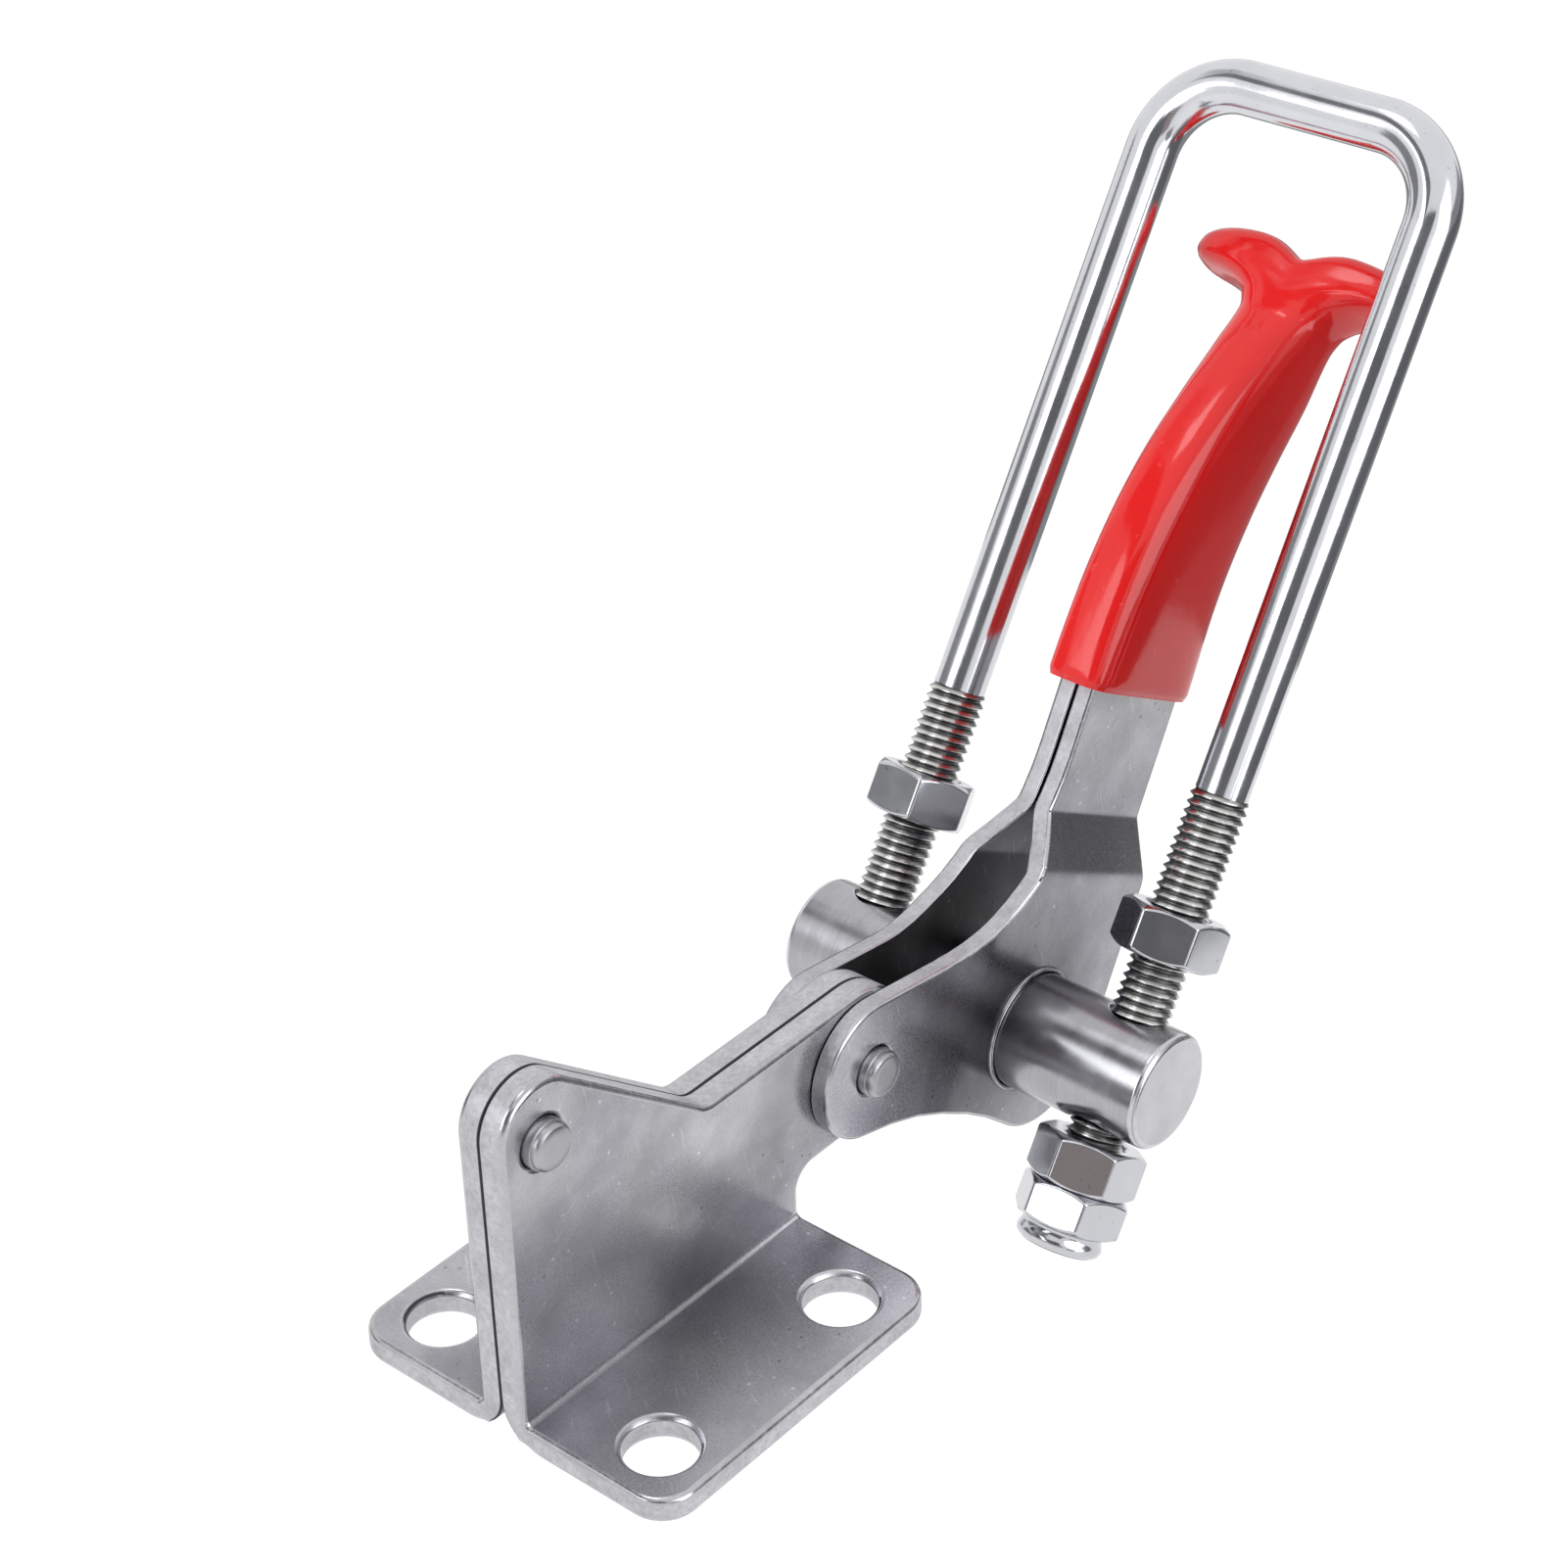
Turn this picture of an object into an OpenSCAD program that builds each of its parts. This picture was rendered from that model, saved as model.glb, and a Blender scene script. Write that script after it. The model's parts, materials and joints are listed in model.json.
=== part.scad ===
// Vertical toggle clamp with an adjustable U-bolt, shown closed.
// Origin: centre of the four mounting holes, on the underside of the base.
// X runs from the heel towards the handle, Y to the left, Z up. Millimetres and degrees.

/* [Base brackets] */
// Thickness of the bracket sheet
bracket_t = 3.5; // [2.8:0.1:4.5]
// Distance between the mounting holes along the base
hole_pitch_x = 32.5; // [28:0.5:44]
// Distance between the mounting holes across the base
hole_pitch_y = 35; // [33:0.5:44]
// Diameter of the mounting holes
mount_hole_d = 9.2; // [6:0.1:10.5]
// From the heel holes to the heel edge of the flange
heel_margin = 8; // [7:0.5:12]
// From the toe holes to the toe edge of the flange
toe_margin = 9; // [7:0.5:12]
// From the holes to the long edge of the flange
side_margin = 8; // [7:0.5:12]
// Radius of the flange's outer corners
flange_corner_r = 5; // [1:0.5:6.5]
// Outer radius of the fold between flange and web
fold_r = 6; // [5:0.5:7.5]
// Inner radius of the fold
crease_r = 0.8; // [0.3:0.1:1.5]
// Width of the chamfer round each mounting hole
hole_chamfer = 0.6; // [0.2:0.1:1]

/* [Web] */
// Height of the web at the heel
web_h = 50; // [44:0.5:60]
// Radius of the web's top corner at the heel
heel_top_r = 6.5; // [5:0.5:8]
// From the web's top down to the middle of the heel rivet
heel_rivet_drop = 8.2; // [7:0.2:14]
// Angle of the web's sloping edge below the horizontal
slope_angle = 39; // [34:0.5:44]
// From the toe edge to the handle's pivot
arm_reach = 12; // [10:0.5:18]
// Height of the handle's pivot
pivot_z = 20; // [18:0.5:24]
// Radius of the arm's round end
arm_end_r = 10; // [7.5:0.5:11]
// Fillet where the slope meets the arm
step_fillet_r = 4; // [1:0.5:8]
// Fillet under the arm, above the toe
toe_fillet_r = 3; // [1:0.5:4]

/* [Rivets] */
// Diameter of the heel rivet and of the pivot rivet
rivet_d = 6.4; // [5:0.1:7.5]
// How far each rivet end stands proud of the sheet
rivet_proud = 2; // [1:0.1:3]
// Depth of the shoulder turned on each rivet end
rivet_shoulder = 0.2; // [0.1:0.05:0.4]
// Chamfer on each rivet end
rivet_chamfer = 0.4; // [0.2:0.1:0.8]

/* [Handle] */
// Thickness of the handle sheet
handle_t = 2.5; // [1.8:0.1:3.2]
// Side clearance between the ears and the arm
ear_clearance = 0.1; // [0.05:0.05:0.4]
// Radial clearance of the pivot rivet in the ears
pivot_clearance = 0.05; // [0.02:0.01:0.09]
// Radius of the ears round the pivot
ear_r = 9.4; // [7:0.2:10]
// How far the cheeks stand out beside the trunnion, past the ears
cheek_set = 0.5; // [0:0.1:1.5]
// From the pivot to the trunnion
crank = 33.5; // [31:0.5:38]
// Angle of the crank below the horizontal, closed
crank_angle = 20.5; // [14:0.5:26]
// Angle of the handle above the horizontal, closed
handle_angle = 60.5; // [56:0.5:66]
// Width of the handle below the grip
neck_w = 22; // [18:0.5:26]
// From the trunnion axis to the handle's rear edge, across the handle
rear_edge = 17.2; // [15:0.2:20]
// From the trunnion axis to the start of the joggle
joggle_start = 21; // [19:0.5:26]
// Length of the joggle along the handle
joggle_len = 7.4; // [6:0.2:12]
// Gap between the two plates above the joggle
neck_gap = 0.4; // [0.2:0.1:1]
// Bend radius of the joggle, on the middle of the sheet
joggle_r = 3; // [2:0.5:5]
// Radius of the lobe below the trunnion
lobe_r = 12; // [10.5:0.5:14]
// How far the lobe's centre lies below the trunnion axis
lobe_drop = 2.2; // [0:0.2:4]
// Radius of the hollow between the ears and the lobe
belly_r = 60; // [40:5:120]
// Radius of the hollow between the ears and the neck
nape_r = 30; // [20:1:45]
// Height of the hollow's edge above the pivot
nape_rise = 7; // [4:0.2:9]

/* [Grip] */
// From the trunnion axis to the grip's lower edge
grip_start = 45.5; // [40:0.5:56]
// From the trunnion axis to the bend in the handle
bend_at = 65.5; // [60:0.5:72]
// How far the upper handle leans away from the hook
bend_angle = 21; // [12:0.5:26]
// From the bend to the ends of the plates
upper_len = 42.2; // [36:0.2:52]
// Thickness of the vinyl coat on the sheet
coat_t = 1.4; // [1.2:0.1:2]
// Width of the grip at its lower edge, coat included
grip_w = 25.4; // [21:0.2:31]
// Width across the crossbar's wings, coat included
tee_span = 33.4; // [26:0.2:34]
// Width of the plates at the crossbar
tee_plate_w = 5; // [4:0.5:8]
// Bend radius of the wings, on the middle of the sheet
wing_r = 5; // [4:0.5:6]

/* [Trunnion] */
// Diameter of the trunnion
trunnion_d = 16; // [14.5:0.1:18]
// How far the trunnion runs past the middle of each leg
trunnion_overhang = 7.7; // [6:0.1:10]
// Chamfer on the trunnion's ends
trunnion_chamfer = 0.6; // [0.2:0.1:1]
// Radial clearance of the trunnion in the plates
trunnion_clearance = 0.08; // [0.02:0.01:0.09]
// Width of the raised lip round the trunnion hole
lip_w = 0.7; // [0.4:0.1:1.2]
// Height of the raised lip
lip_h = 0.5; // [0.2:0.1:0.8]

/* [U-bolt] */
// Outer diameter of the thread
thread_d = 8; // [7.5:0.1:9]
// Diameter of the plain rod
shank_d = 7.1; // [6:0.1:7.4]
// Distance between the legs' centres
leg_pitch = 42.4; // [40:0.2:48]
// Angle of the legs above the horizontal, closed
hook_angle = 57; // [54:0.5:59]
// From the trunnion axis to the middle of the crossbar
hook_reach = 124.6; // [122:0.2:140]
// Bend radius on the rod's centreline
hook_bend_r = 11; // [7:0.2:14]
// From the trunnion axis to the end of the thread
thread_top = 38.5; // [36:0.5:60]
// Radial clearance of the thread in the trunnion
leg_clearance = 0.08; // [0.02:0.01:0.09]
// Chamfer on the ends of the legs
leg_chamfer = 0.8; // [0.4:0.1:1.2]

/* [Nuts] */
// Across flats of all the nuts
nut_af = 13; // [12.5:0.1:14]
// Height of the plain nuts
nut_h = 6.5; // [5:0.1:8]
// Height of the lock nuts' hexagon
lock_hex_h = 5.4; // [4.5:0.1:6.5]
// Height of the lock nuts' collar
lock_collar_h = 3; // [2:0.1:3.5]
// Diameter of the lock nuts' collar
lock_collar_d = 11.6; // [11.2:0.1:12.2]
// From the trunnion to the right upper nut
upper_gap_right = 7.6; // [3:0.1:12]
// From the trunnion to the left upper nut
upper_gap_left = 11.5; // [3:0.1:14]
// From the trunnion to the lower nuts
lower_gap = 1.4; // [0.5:0.1:4]
// How far the end of each leg lies inside its lock nut
leg_inset = 0.3; // [0:0.1:1]
// Radial clearance of the nuts on the thread
nut_clearance = 0.05; // [0.02:0.01:0.1]

/* [Hidden] */
$fn = 64;
arc_step = 6;                // degrees between the points of an arc
far = 300;                   // longer than the whole clamp
right = -1;                  // the side of -Y
left = 1;                    // the side of +Y

heel_x = -hole_pitch_x / 2 - heel_margin;
toe_x = hole_pitch_x / 2 + toe_margin;
flange_half_w = hole_pitch_y / 2 + side_margin;
pivot = [toe_x + arm_reach, pivot_z];
arm_top = pivot_z + arm_end_r;
arm_bottom = pivot_z - arm_end_r;
heel_rivet_x = heel_x + heel_top_r;
heel_rivet_z = web_h - heel_rivet_drop;
rivet_r = rivet_d / 2;

trunnion_r = trunnion_d / 2;
trunnion_at = pivot + crank * [cos(crank_angle), -sin(crank_angle)];
trunnion_hole_r = trunnion_r + trunnion_clearance;
trunnion_half_l = leg_pitch / 2 + trunnion_overhang;

ear_y = bracket_t + ear_clearance;       // inner face of the ears
cheek_y = ear_y + cheek_set;             // inner face beside the trunnion
neck_y = neck_gap / 2;                   // inner face above the joggle
up = [cos(handle_angle), sin(handle_angle)];       // along the handle
across = [sin(handle_angle), -cos(handle_angle)];  // from its front edge to its rear edge
up_angle = handle_angle - bend_angle;
up2 = [cos(up_angle), sin(up_angle)];              // the same two above the bend
across2 = [sin(up_angle), -cos(up_angle)];
neck_mid = rear_edge - neck_w / 2;
bend_point = trunnion_at + bend_at * up + neck_mid * across;
wing_y = tee_span / 2 - 5;             // the plates' reach at the crossbar
bend_half_w = neck_w / 2 - 2;            // half the plates' width at the bend

thread_r = thread_d / 2;
shank_r = shank_d / 2;
lower_nut_z = -(trunnion_r + lower_gap);           // upper faces, along the leg
lock_nut_z = lower_nut_z - nut_h;
leg_end = lock_nut_z - lock_hex_h - lock_collar_h + leg_inset;
nut_corner_r = nut_af / 2 / cos(30);
nut_bore_r = thread_r + nut_clearance;

// Angle of the outward normal where a line runs from circle a on to circle b
function tangent_normal(a, b) =
    let (d = [b.x - a.x, b.y - a.y])
    atan2(d.y, d.x) - acos((a[2] - b[2]) / norm(d));

// Points of an outline that runs counter-clockwise round a list of circles
// [x, y, radius]. A negative radius makes a hollow corner, zero a sharp one.
function belt(circles) =
    let (n = len(circles))
    [for (i = [0:n - 1])
        let (c = circles[i],
             a0 = tangent_normal(circles[(i + n - 1) % n], c),
             a1 = tangent_normal(c, circles[(i + 1) % n]),
             turn = c[2] < 0 ? -wrap(a0 - a1) : wrap(a1 - a0),
             steps = c[2] == 0 ? 0 : max(1, ceil(abs(turn) / arc_step)))
        for (k = [0:steps])
            let (a = a0 + (steps == 0 ? 0 : turn * k / steps))
            [c.x + c[2] * cos(a), c.y + c[2] * sin(a)]];

// An angle brought into 0 to 360 degrees
function wrap(a) = a - 360 * floor(a / 360);

// Centre of a circle of radius r that touches circles a and b from outside,
// on the right of the way from a to b
function touching(a, b, r) =
    let (d = [b.x - a.x, b.y - a.y], l = norm(d), ra = a[2] + r, rb = b[2] + r,
         along = (ra * ra - rb * rb + l * l) / (2 * l),
         aside = sqrt(ra * ra - along * along))
    [a.x + (along * d.x + aside * d.y) / l, a.y + (along * d.y - aside * d.x) / l, -r];

// Middle line of a bent sheet: the corner points p, rounded with radius r,
// as [x, y, heading] rows
function bent(p, r) =
    concat([[p[0].x, p[0].y, heading(p[0], p[1])]],
        [for (i = [1:len(p) - 2])
            let (h0 = heading(p[i - 1], p[i]), h1 = heading(p[i], p[i + 1]),
                 turn = h1 - h0, side = sign(turn),
                 back = r * tan(abs(turn) / 2),
                 c = p[i] - back * [cos(h0), sin(h0)] + side * r * [-sin(h0), cos(h0)],
                 steps = max(1, ceil(abs(turn) / arc_step)))
            for (k = [0:steps])
                let (h = h0 + turn * k / steps)
                [c.x + side * r * sin(h), c.y - side * r * cos(h), h]],
        [let (n = len(p)) [p[n - 1].x, p[n - 1].y, heading(p[n - 2], p[n - 1])]]);
function heading(a, b) = atan2(b.y - a.y, b.x - a.x);

// Section of a sheet of thickness t on both sides of a middle line
function sheet(line, t) =
    concat([for (p = line) [p.x - t / 2 * sin(p[2]), p.y + t / 2 * cos(p[2])]],
        [for (i = [len(line) - 1:-1:0]) let (p = line[i])
            [p.x + t / 2 * sin(p[2]), p.y - t / 2 * cos(p[2])]]);

// Outline drawn in the X-Z plane, extruded from y0 to y1
module side_view(points, y0, y1) {
    translate([0, y1, 0]) rotate([90, 0, 0]) linear_extrude(y1 - y0) polygon(points);
}

// Round bar across the clamp, from y0 to y1, at [x, z]
module cross_bar(at, r, y0, y1) {
    translate([at.x, y1, at.y]) rotate([90, 0, 0]) cylinder(h = y1 - y0, r = r);
}

// Side view of a bracket: flange, web and arm in one outline
function bracket_outline() =
    let (n = [sin(slope_angle), cos(slope_angle)],
         heel = [heel_rivet_x, web_h - heel_top_r, heel_top_r],
         reach = heel.x * n.x + heel.y * n.y + heel_top_r,
         step_z = arm_top + step_fillet_r,
         step_x = (reach + step_fillet_r - step_z * n.y) / n.x)
    belt([[heel_x, 0, 0],
          [toe_x, 0, 0],
          [toe_x + toe_fillet_r, arm_bottom - toe_fillet_r, -toe_fillet_r],
          [pivot.x, pivot.y, arm_end_r],
          [step_x, step_z, -step_fillet_r],
          heel]);

// Cross-section of the right bracket: an L with a wide outer fold
function bracket_section() =
    belt([[-fold_r, fold_r, fold_r],
          [0, web_h, 0],
          [-bracket_t, web_h, 0],
          [-bracket_t - crease_r, bracket_t + crease_r, -crease_r],
          [-flange_half_w, bracket_t, 0],
          [-flange_half_w, 0, 0]]);

// Plan of the right bracket: the web's strip and the flange with its round corners
module bracket_plan() {
    translate([heel_x, -fold_r]) square([pivot.x + arm_end_r - heel_x, fold_r]);
    polygon(belt([[heel_x, 0, 0],
                  [heel_x + flange_corner_r, -flange_half_w + flange_corner_r, flange_corner_r],
                  [toe_x - flange_corner_r, -flange_half_w + flange_corner_r, flange_corner_r],
                  [toe_x, 0, 0]]));
}

module bracket_right() {
    difference() {
        intersection() {
            side_view(bracket_outline(), -flange_half_w, 0);
            translate([heel_x, 0, 0]) rotate([90, 0, 90])
                linear_extrude(pivot.x + arm_end_r - heel_x)
                    polygon(bracket_section());
            linear_extrude(web_h) bracket_plan();
        }
        for (x = [-1, 1]) translate([x * hole_pitch_x / 2, -hole_pitch_y / 2, 0]) {
            translate([0, 0, -1]) cylinder(h = bracket_t + 2, d = mount_hole_d);
            translate([0, 0, bracket_t - hole_chamfer])
                cylinder(h = hole_chamfer + 1, r1 = mount_hole_d / 2,
                         r2 = mount_hole_d / 2 + hole_chamfer + 1);
        }
        cross_bar([heel_rivet_x, heel_rivet_z], rivet_r, -bracket_t - 1, 1);
        cross_bar(pivot, rivet_r, -bracket_t - 1, 1);
    }
}

module base_bracket_right() { color([0.66, 0.65, 0.65]) bracket_right(); }
module base_bracket_left() { color([0.66, 0.65, 0.65]) mirror([0, 1, 0]) bracket_right(); }

// Rivet across the clamp whose ends stand proud of sheets that reach to half_l
module rivet(at, half_l) {
    end = half_l + rivet_proud;
    step_r = rivet_r - rivet_shoulder;
    translate([at.x, 0, at.y]) rotate([90, 0, 0]) rotate_extrude()
        polygon([[0, -end], [step_r - rivet_chamfer, -end], [step_r, -end + rivet_chamfer],
                 [step_r, -half_l - rivet_proud / 2], [rivet_r, -half_l - rivet_proud / 2],
                 [rivet_r, half_l + rivet_proud / 2], [step_r, half_l + rivet_proud / 2],
                 [step_r, end - rivet_chamfer], [step_r - rivet_chamfer, end], [0, end]]);
}

module heel_rivet() { color([0.74, 0.73, 0.73]) rivet([heel_rivet_x, heel_rivet_z], bracket_t); }
module pivot_rivet() { color([0.74, 0.73, 0.73]) rivet(pivot, ear_y + handle_t); }

// Flat pattern of a handle plate in the X-Z plane
function plate_outline() =
    let (ear = [pivot.x, pivot.y, ear_r],
         low = trunnion_at - lobe_drop * up + (rear_edge - lobe_r) * across,
         lobe = [low.x, low.y, lobe_r],
         half = neck_w / 2,
         corner = 2,
         tip = tee_plate_w / 2 - corner,
         inside = bend_point - (bend_at - grip_start - 3) * up,
         rear_in = inside + half * across,
         front_in = inside - half * across,
         rear_bend = bend_point + bend_half_w * across,
         front_bend = bend_point - bend_half_w * across,
         end = bend_point + (upper_len - corner) * up2,
         rear_tip = end + tip * across2,
         front_tip = end - tip * across2,
         // the nape touches the neck's front edge from outside
         nape_z = pivot.y + nape_rise + nape_r,
         edge = trunnion_at + (rear_edge - neck_w - nape_r) * across,
         nape_x = edge.x + (nape_z - edge.y) * up.x / up.y)
    belt([ear, touching(ear, lobe, belly_r), lobe,
          [rear_in.x, rear_in.y, 0],
          [rear_bend.x, rear_bend.y, 0],
          [rear_tip.x, rear_tip.y, corner],
          [front_tip.x, front_tip.y, corner],
          [front_bend.x, front_bend.y, 0],
          [front_in.x, front_in.y, 0],
          [nape_x, nape_z, -nape_r]]);

// Prism of a profile drawn in a plane that holds Y. Its first axis points
// along angle a in the X-Z plane from the point at.
module sheet_prism(at, a, points) {
    translate([at.x, 0, at.y]) rotate([0, -a, 0])
        translate([0, 0, -far / 2]) linear_extrude(far) polygon(points);
}

// The left plate before its holes: the flat pattern, bent in three places
module plate_body(t) {
    mid = t / 2;
    crank_back = 180 - crank_angle;      // from the trunnion to the pivot
    set_start = trunnion_hole_r + lip_w + 4;
    set_len = 8;
    lead = 3;                            // the slope's run into the cheek
    set_rise = cheek_set * lead / set_len;
    intersection() {
        side_view(plate_outline(), 0, tee_span);
        union() {
            difference() {
                union() {
                    // cheeks and neck, with the joggle between them
                    sheet_prism(trunnion_at, handle_angle, sheet(
                        bent([[-far / 4, cheek_y + mid], [joggle_start, cheek_y + mid],
                              [joggle_start + joggle_len, neck_y + mid],
                              [bend_at + 20, neck_y + mid]], joggle_r), t));
                    // inner faces of the ears, set in towards the arm
                    sheet_prism(trunnion_at, crank_back, [
                        [set_start - lead, cheek_y + set_rise], [set_start + set_len, ear_y],
                        [far / 4, ear_y], [far / 4, cheek_y + mid],
                        [set_start - lead, cheek_y + mid]]);
                }
                // outer faces of the ears, set in as far
                sheet_prism(trunnion_at, crank_back, [
                    [set_start - lead, cheek_y + t + set_rise], [set_start + set_len, ear_y + t],
                    [far / 4, ear_y + t], [far / 4, tee_span],
                    [set_start - lead, tee_span]]);
            }
            // upper handle, whose end turns outwards to make a wing
            sheet_prism(bend_point, up_angle, sheet(
                bent([[-5, neck_y + mid], [upper_len - mid, neck_y + mid],
                      [upper_len - mid, wing_y]], wing_r), t));
        }
    }
}

module plate_left() {
    difference() {
        union() {
            plate_body(handle_t);
            translate([trunnion_at.x, cheek_y + handle_t, trunnion_at.y]) rotate([-90, 0, 0])
                rotate_extrude() polygon([
                    [trunnion_hole_r - 1, -1], [trunnion_hole_r + lip_w, -1],
                    [trunnion_hole_r + lip_w, lip_h / 2], [trunnion_hole_r + lip_w * 0.7, lip_h],
                    [trunnion_hole_r - 1, lip_h]]);
        }
        cross_bar(trunnion_at, trunnion_hole_r, 0, tee_span);
        cross_bar(pivot, rivet_r + pivot_clearance, 0, tee_span);
    }
}

module handle_plate_left() { color([0.6, 0.59, 0.6]) plate_left(); }
module handle_plate_right() { color([0.6, 0.59, 0.6]) mirror([0, 1, 0]) plate_left(); }

// Stations of the grip: distance from its lower edge, half width,
// half thickness and squareness of the section, and its shift to the rear
grip_len_low = bend_at - grip_start;
grip_len = grip_len_low + upper_len + coat_t;
grip_half_t = neck_y + handle_t + coat_t;
tee_half = tee_span / 2;
tee_half_w = tee_plate_w / 2 + coat_t + 1;
grip_stations = [
    [0, grip_w / 2 - 0.3, grip_half_t + 0.6, 5, 0],
    [1, grip_w / 2 + 0.1, grip_half_t + 1.1, 4.2, 0],
    [grip_len * 0.24, grip_w * 0.475, grip_half_t + 1.3, 3.6, 0],
    [grip_len * 0.43, grip_w * 0.43, grip_half_t + 1.6, 3.2, 0.1],
    [grip_len * 0.6, grip_w * 0.375, grip_half_t + 1.7, 3, 0.4],
    [grip_len * 0.72, grip_w * 0.325, grip_half_t + 1.8, 3, 0.9],
    [grip_len - 11, tee_half_w + 1.6, grip_half_t + 2.1, 2.8, 1],
    [grip_len - 8.6, tee_half_w + 1.2, tee_half * 0.43, 2.8, 0.6],
    [grip_len - 7, tee_half_w + 1, tee_half * 0.55, 2.8, 0.3],
    [grip_len - 5.9, tee_half_w + 0.8, tee_half * 0.72, 2.9, 0.1],
    [grip_len - 5, tee_half_w + 0.6, tee_half * 0.89, 3, 0],
    [grip_len - 4.2, tee_half_w + 0.5, tee_half * 0.965, 3, -0.1],
    [grip_len - 3, tee_half_w + 0.3, tee_half, 3, -0.2],
    [grip_len - 1.7, tee_half_w, tee_half * 0.985, 3, -0.3],
    [grip_len - 0.9, tee_half_w - 0.4, tee_half * 0.94, 3, -0.3],
    [grip_len - 0.35, tee_half_w - 1, tee_half * 0.87, 3, -0.3],
    [grip_len, tee_half_w - 2, tee_half * 0.74, 3, -0.3]];

// A station between two others, eased along a smooth curve
function station(t) =
    let (s = grip_stations, n = len(s),
         i = max([for (k = [0:n - 2]) s[k][0] <= t ? k : 0]),
         f = (t - s[i][0]) / (s[i + 1][0] - s[i][0]))
    [for (j = [0:4]) let (
        m0 = slope_at(s, i, j), m1 = slope_at(s, i + 1, j), w = s[i + 1][0] - s[i][0])
        s[i][j] * (1 + 2 * f) * (1 - f) * (1 - f) + m0 * w * f * (1 - f) * (1 - f)
        + s[i + 1][j] * f * f * (3 - 2 * f) + m1 * w * f * f * (f - 1)];
function slope_at(s, i, j) =
    i == 0 || i == len(s) - 1 ? 0 :
    let (a = (s[i][j] - s[i - 1][j]) / (s[i][0] - s[i - 1][0]),
         b = (s[i + 1][j] - s[i][j]) / (s[i + 1][0] - s[i][0]))
    a * b <= 0 ? 0 : 2 * a * b / (a + b);

// The grip's axis in the X-Z plane at distance t from its lower edge: [x, z, angle]
function grip_axis(t) =
    let (r = 70, half = r * tan(bend_angle / 2), t0 = grip_len_low - half,
         arc = r * bend_angle * PI / 180,
         bend = bend_point - grip_shift * across,
         start = bend - grip_len_low * up,
         c = bend - half * up + r * across)
    t <= t0 ? concat(start + t * up, [handle_angle])
    : t <= t0 + arc ? let (a = handle_angle - (t - t0) / r * 180 / PI)
        concat(c - r * [sin(a), -cos(a)], [a])
    : concat(bend + (half + t - t0 - arc) * up2, [up_angle]);

grip_shift = 0.6;            // the grip's middle lies in front of the plates' middle
ring_points = 40;
// One ring of the grip's skin; the ends of the crossbar rise above its middle
function grip_ring(t) =
    let (s = station(t), axis = grip_axis(t), u = [cos(axis[2]), sin(axis[2])],
         v = [sin(axis[2]), -cos(axis[2])], valley = 2.6, droop = 1)
    [for (k = [0:ring_points - 1])
        let (a = (k + 0.5) * 360 / ring_points,
             p = s[4] + s[1] * sign(cos(a)) * pow(abs(cos(a)), 2 / s[3]),
             y = s[2] * sign(sin(a)) * pow(abs(sin(a)), 2 / s[3]),
             rise = pow(max(0, t / grip_len - 0.6) / 0.4, 2),
             sink = valley * rise * pow(max(0, 1 - abs(y) / 7.5), 2)
                    + droop * pow(max(0, abs(y) - 7) / (tee_half - 7), 2),
             q = [axis.x, axis.y] + p * v - sink * u)
        [q.x, y, q.y]];

module grip_skin() {
    rings = [for (i = [0:len(grip_stations) - 2])
                let (a = grip_stations[i][0], b = grip_stations[i + 1][0],
                     n = max(1, round((b - a) / 2.2)))
                for (k = [0:n - 1]) a + (b - a) * k / n,
             grip_len];
    m = ring_points;
    n = len(rings);
    points = [for (t = rings) each grip_ring(t)];
    walls = [for (i = [0:n - 2]) for (k = [0:m - 1])
                let (a = i * m + k, b = i * m + (k + 1) % m)
                each [[a, b, b + m], [a, b + m, a + m]]];
    // each end is closed by strips that run from the front edge to the rear
    caps = [for (e = [0, n - 1]) for (k = [0:m / 2 - 2])
                let (a = e * m + (k + m * 3 / 4) % m, b = e * m + (k + 1 + m * 3 / 4) % m,
                     c = e * m + (m * 3 / 4 - 1 - k + m) % m,
                     d = e * m + (m * 3 / 4 - 2 - k + m) % m)
                each e == 0 ? [[a, c, b], [b, c, d]] : [[a, b, c], [b, d, c]]];
    polyhedron(points, concat(walls, caps));
}

module grip() {
    color([0.86, 0.1, 0.1]) difference() {
        grip_skin();
        plate_body(handle_t);
        mirror([0, 1, 0]) plate_body(handle_t);
    }
}

// The leg frame: origin on the trunnion axis, Z up the leg
module leg_frame(side) {
    translate([trunnion_at.x, 0, trunnion_at.y]) rotate([0, 90 - hook_angle, 0])
        translate([0, side * leg_pitch / 2, 0]) children();
}

module trunnion() {
    color([0.72, 0.72, 0.73]) difference() {
        translate([trunnion_at.x, 0, trunnion_at.y]) rotate([90, 0, 0]) rotate_extrude()
            polygon([[0, -trunnion_half_l], [trunnion_r - trunnion_chamfer, -trunnion_half_l],
                     [trunnion_r, -trunnion_half_l + trunnion_chamfer],
                     [trunnion_r, trunnion_half_l - trunnion_chamfer],
                     [trunnion_r - trunnion_chamfer, trunnion_half_l], [0, trunnion_half_l]]);
        for (side = [right, left]) leg_frame(side)
            translate([0, 0, -trunnion_d]) cylinder(h = 2 * trunnion_d, r = thread_r + leg_clearance);
    }
}

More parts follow.
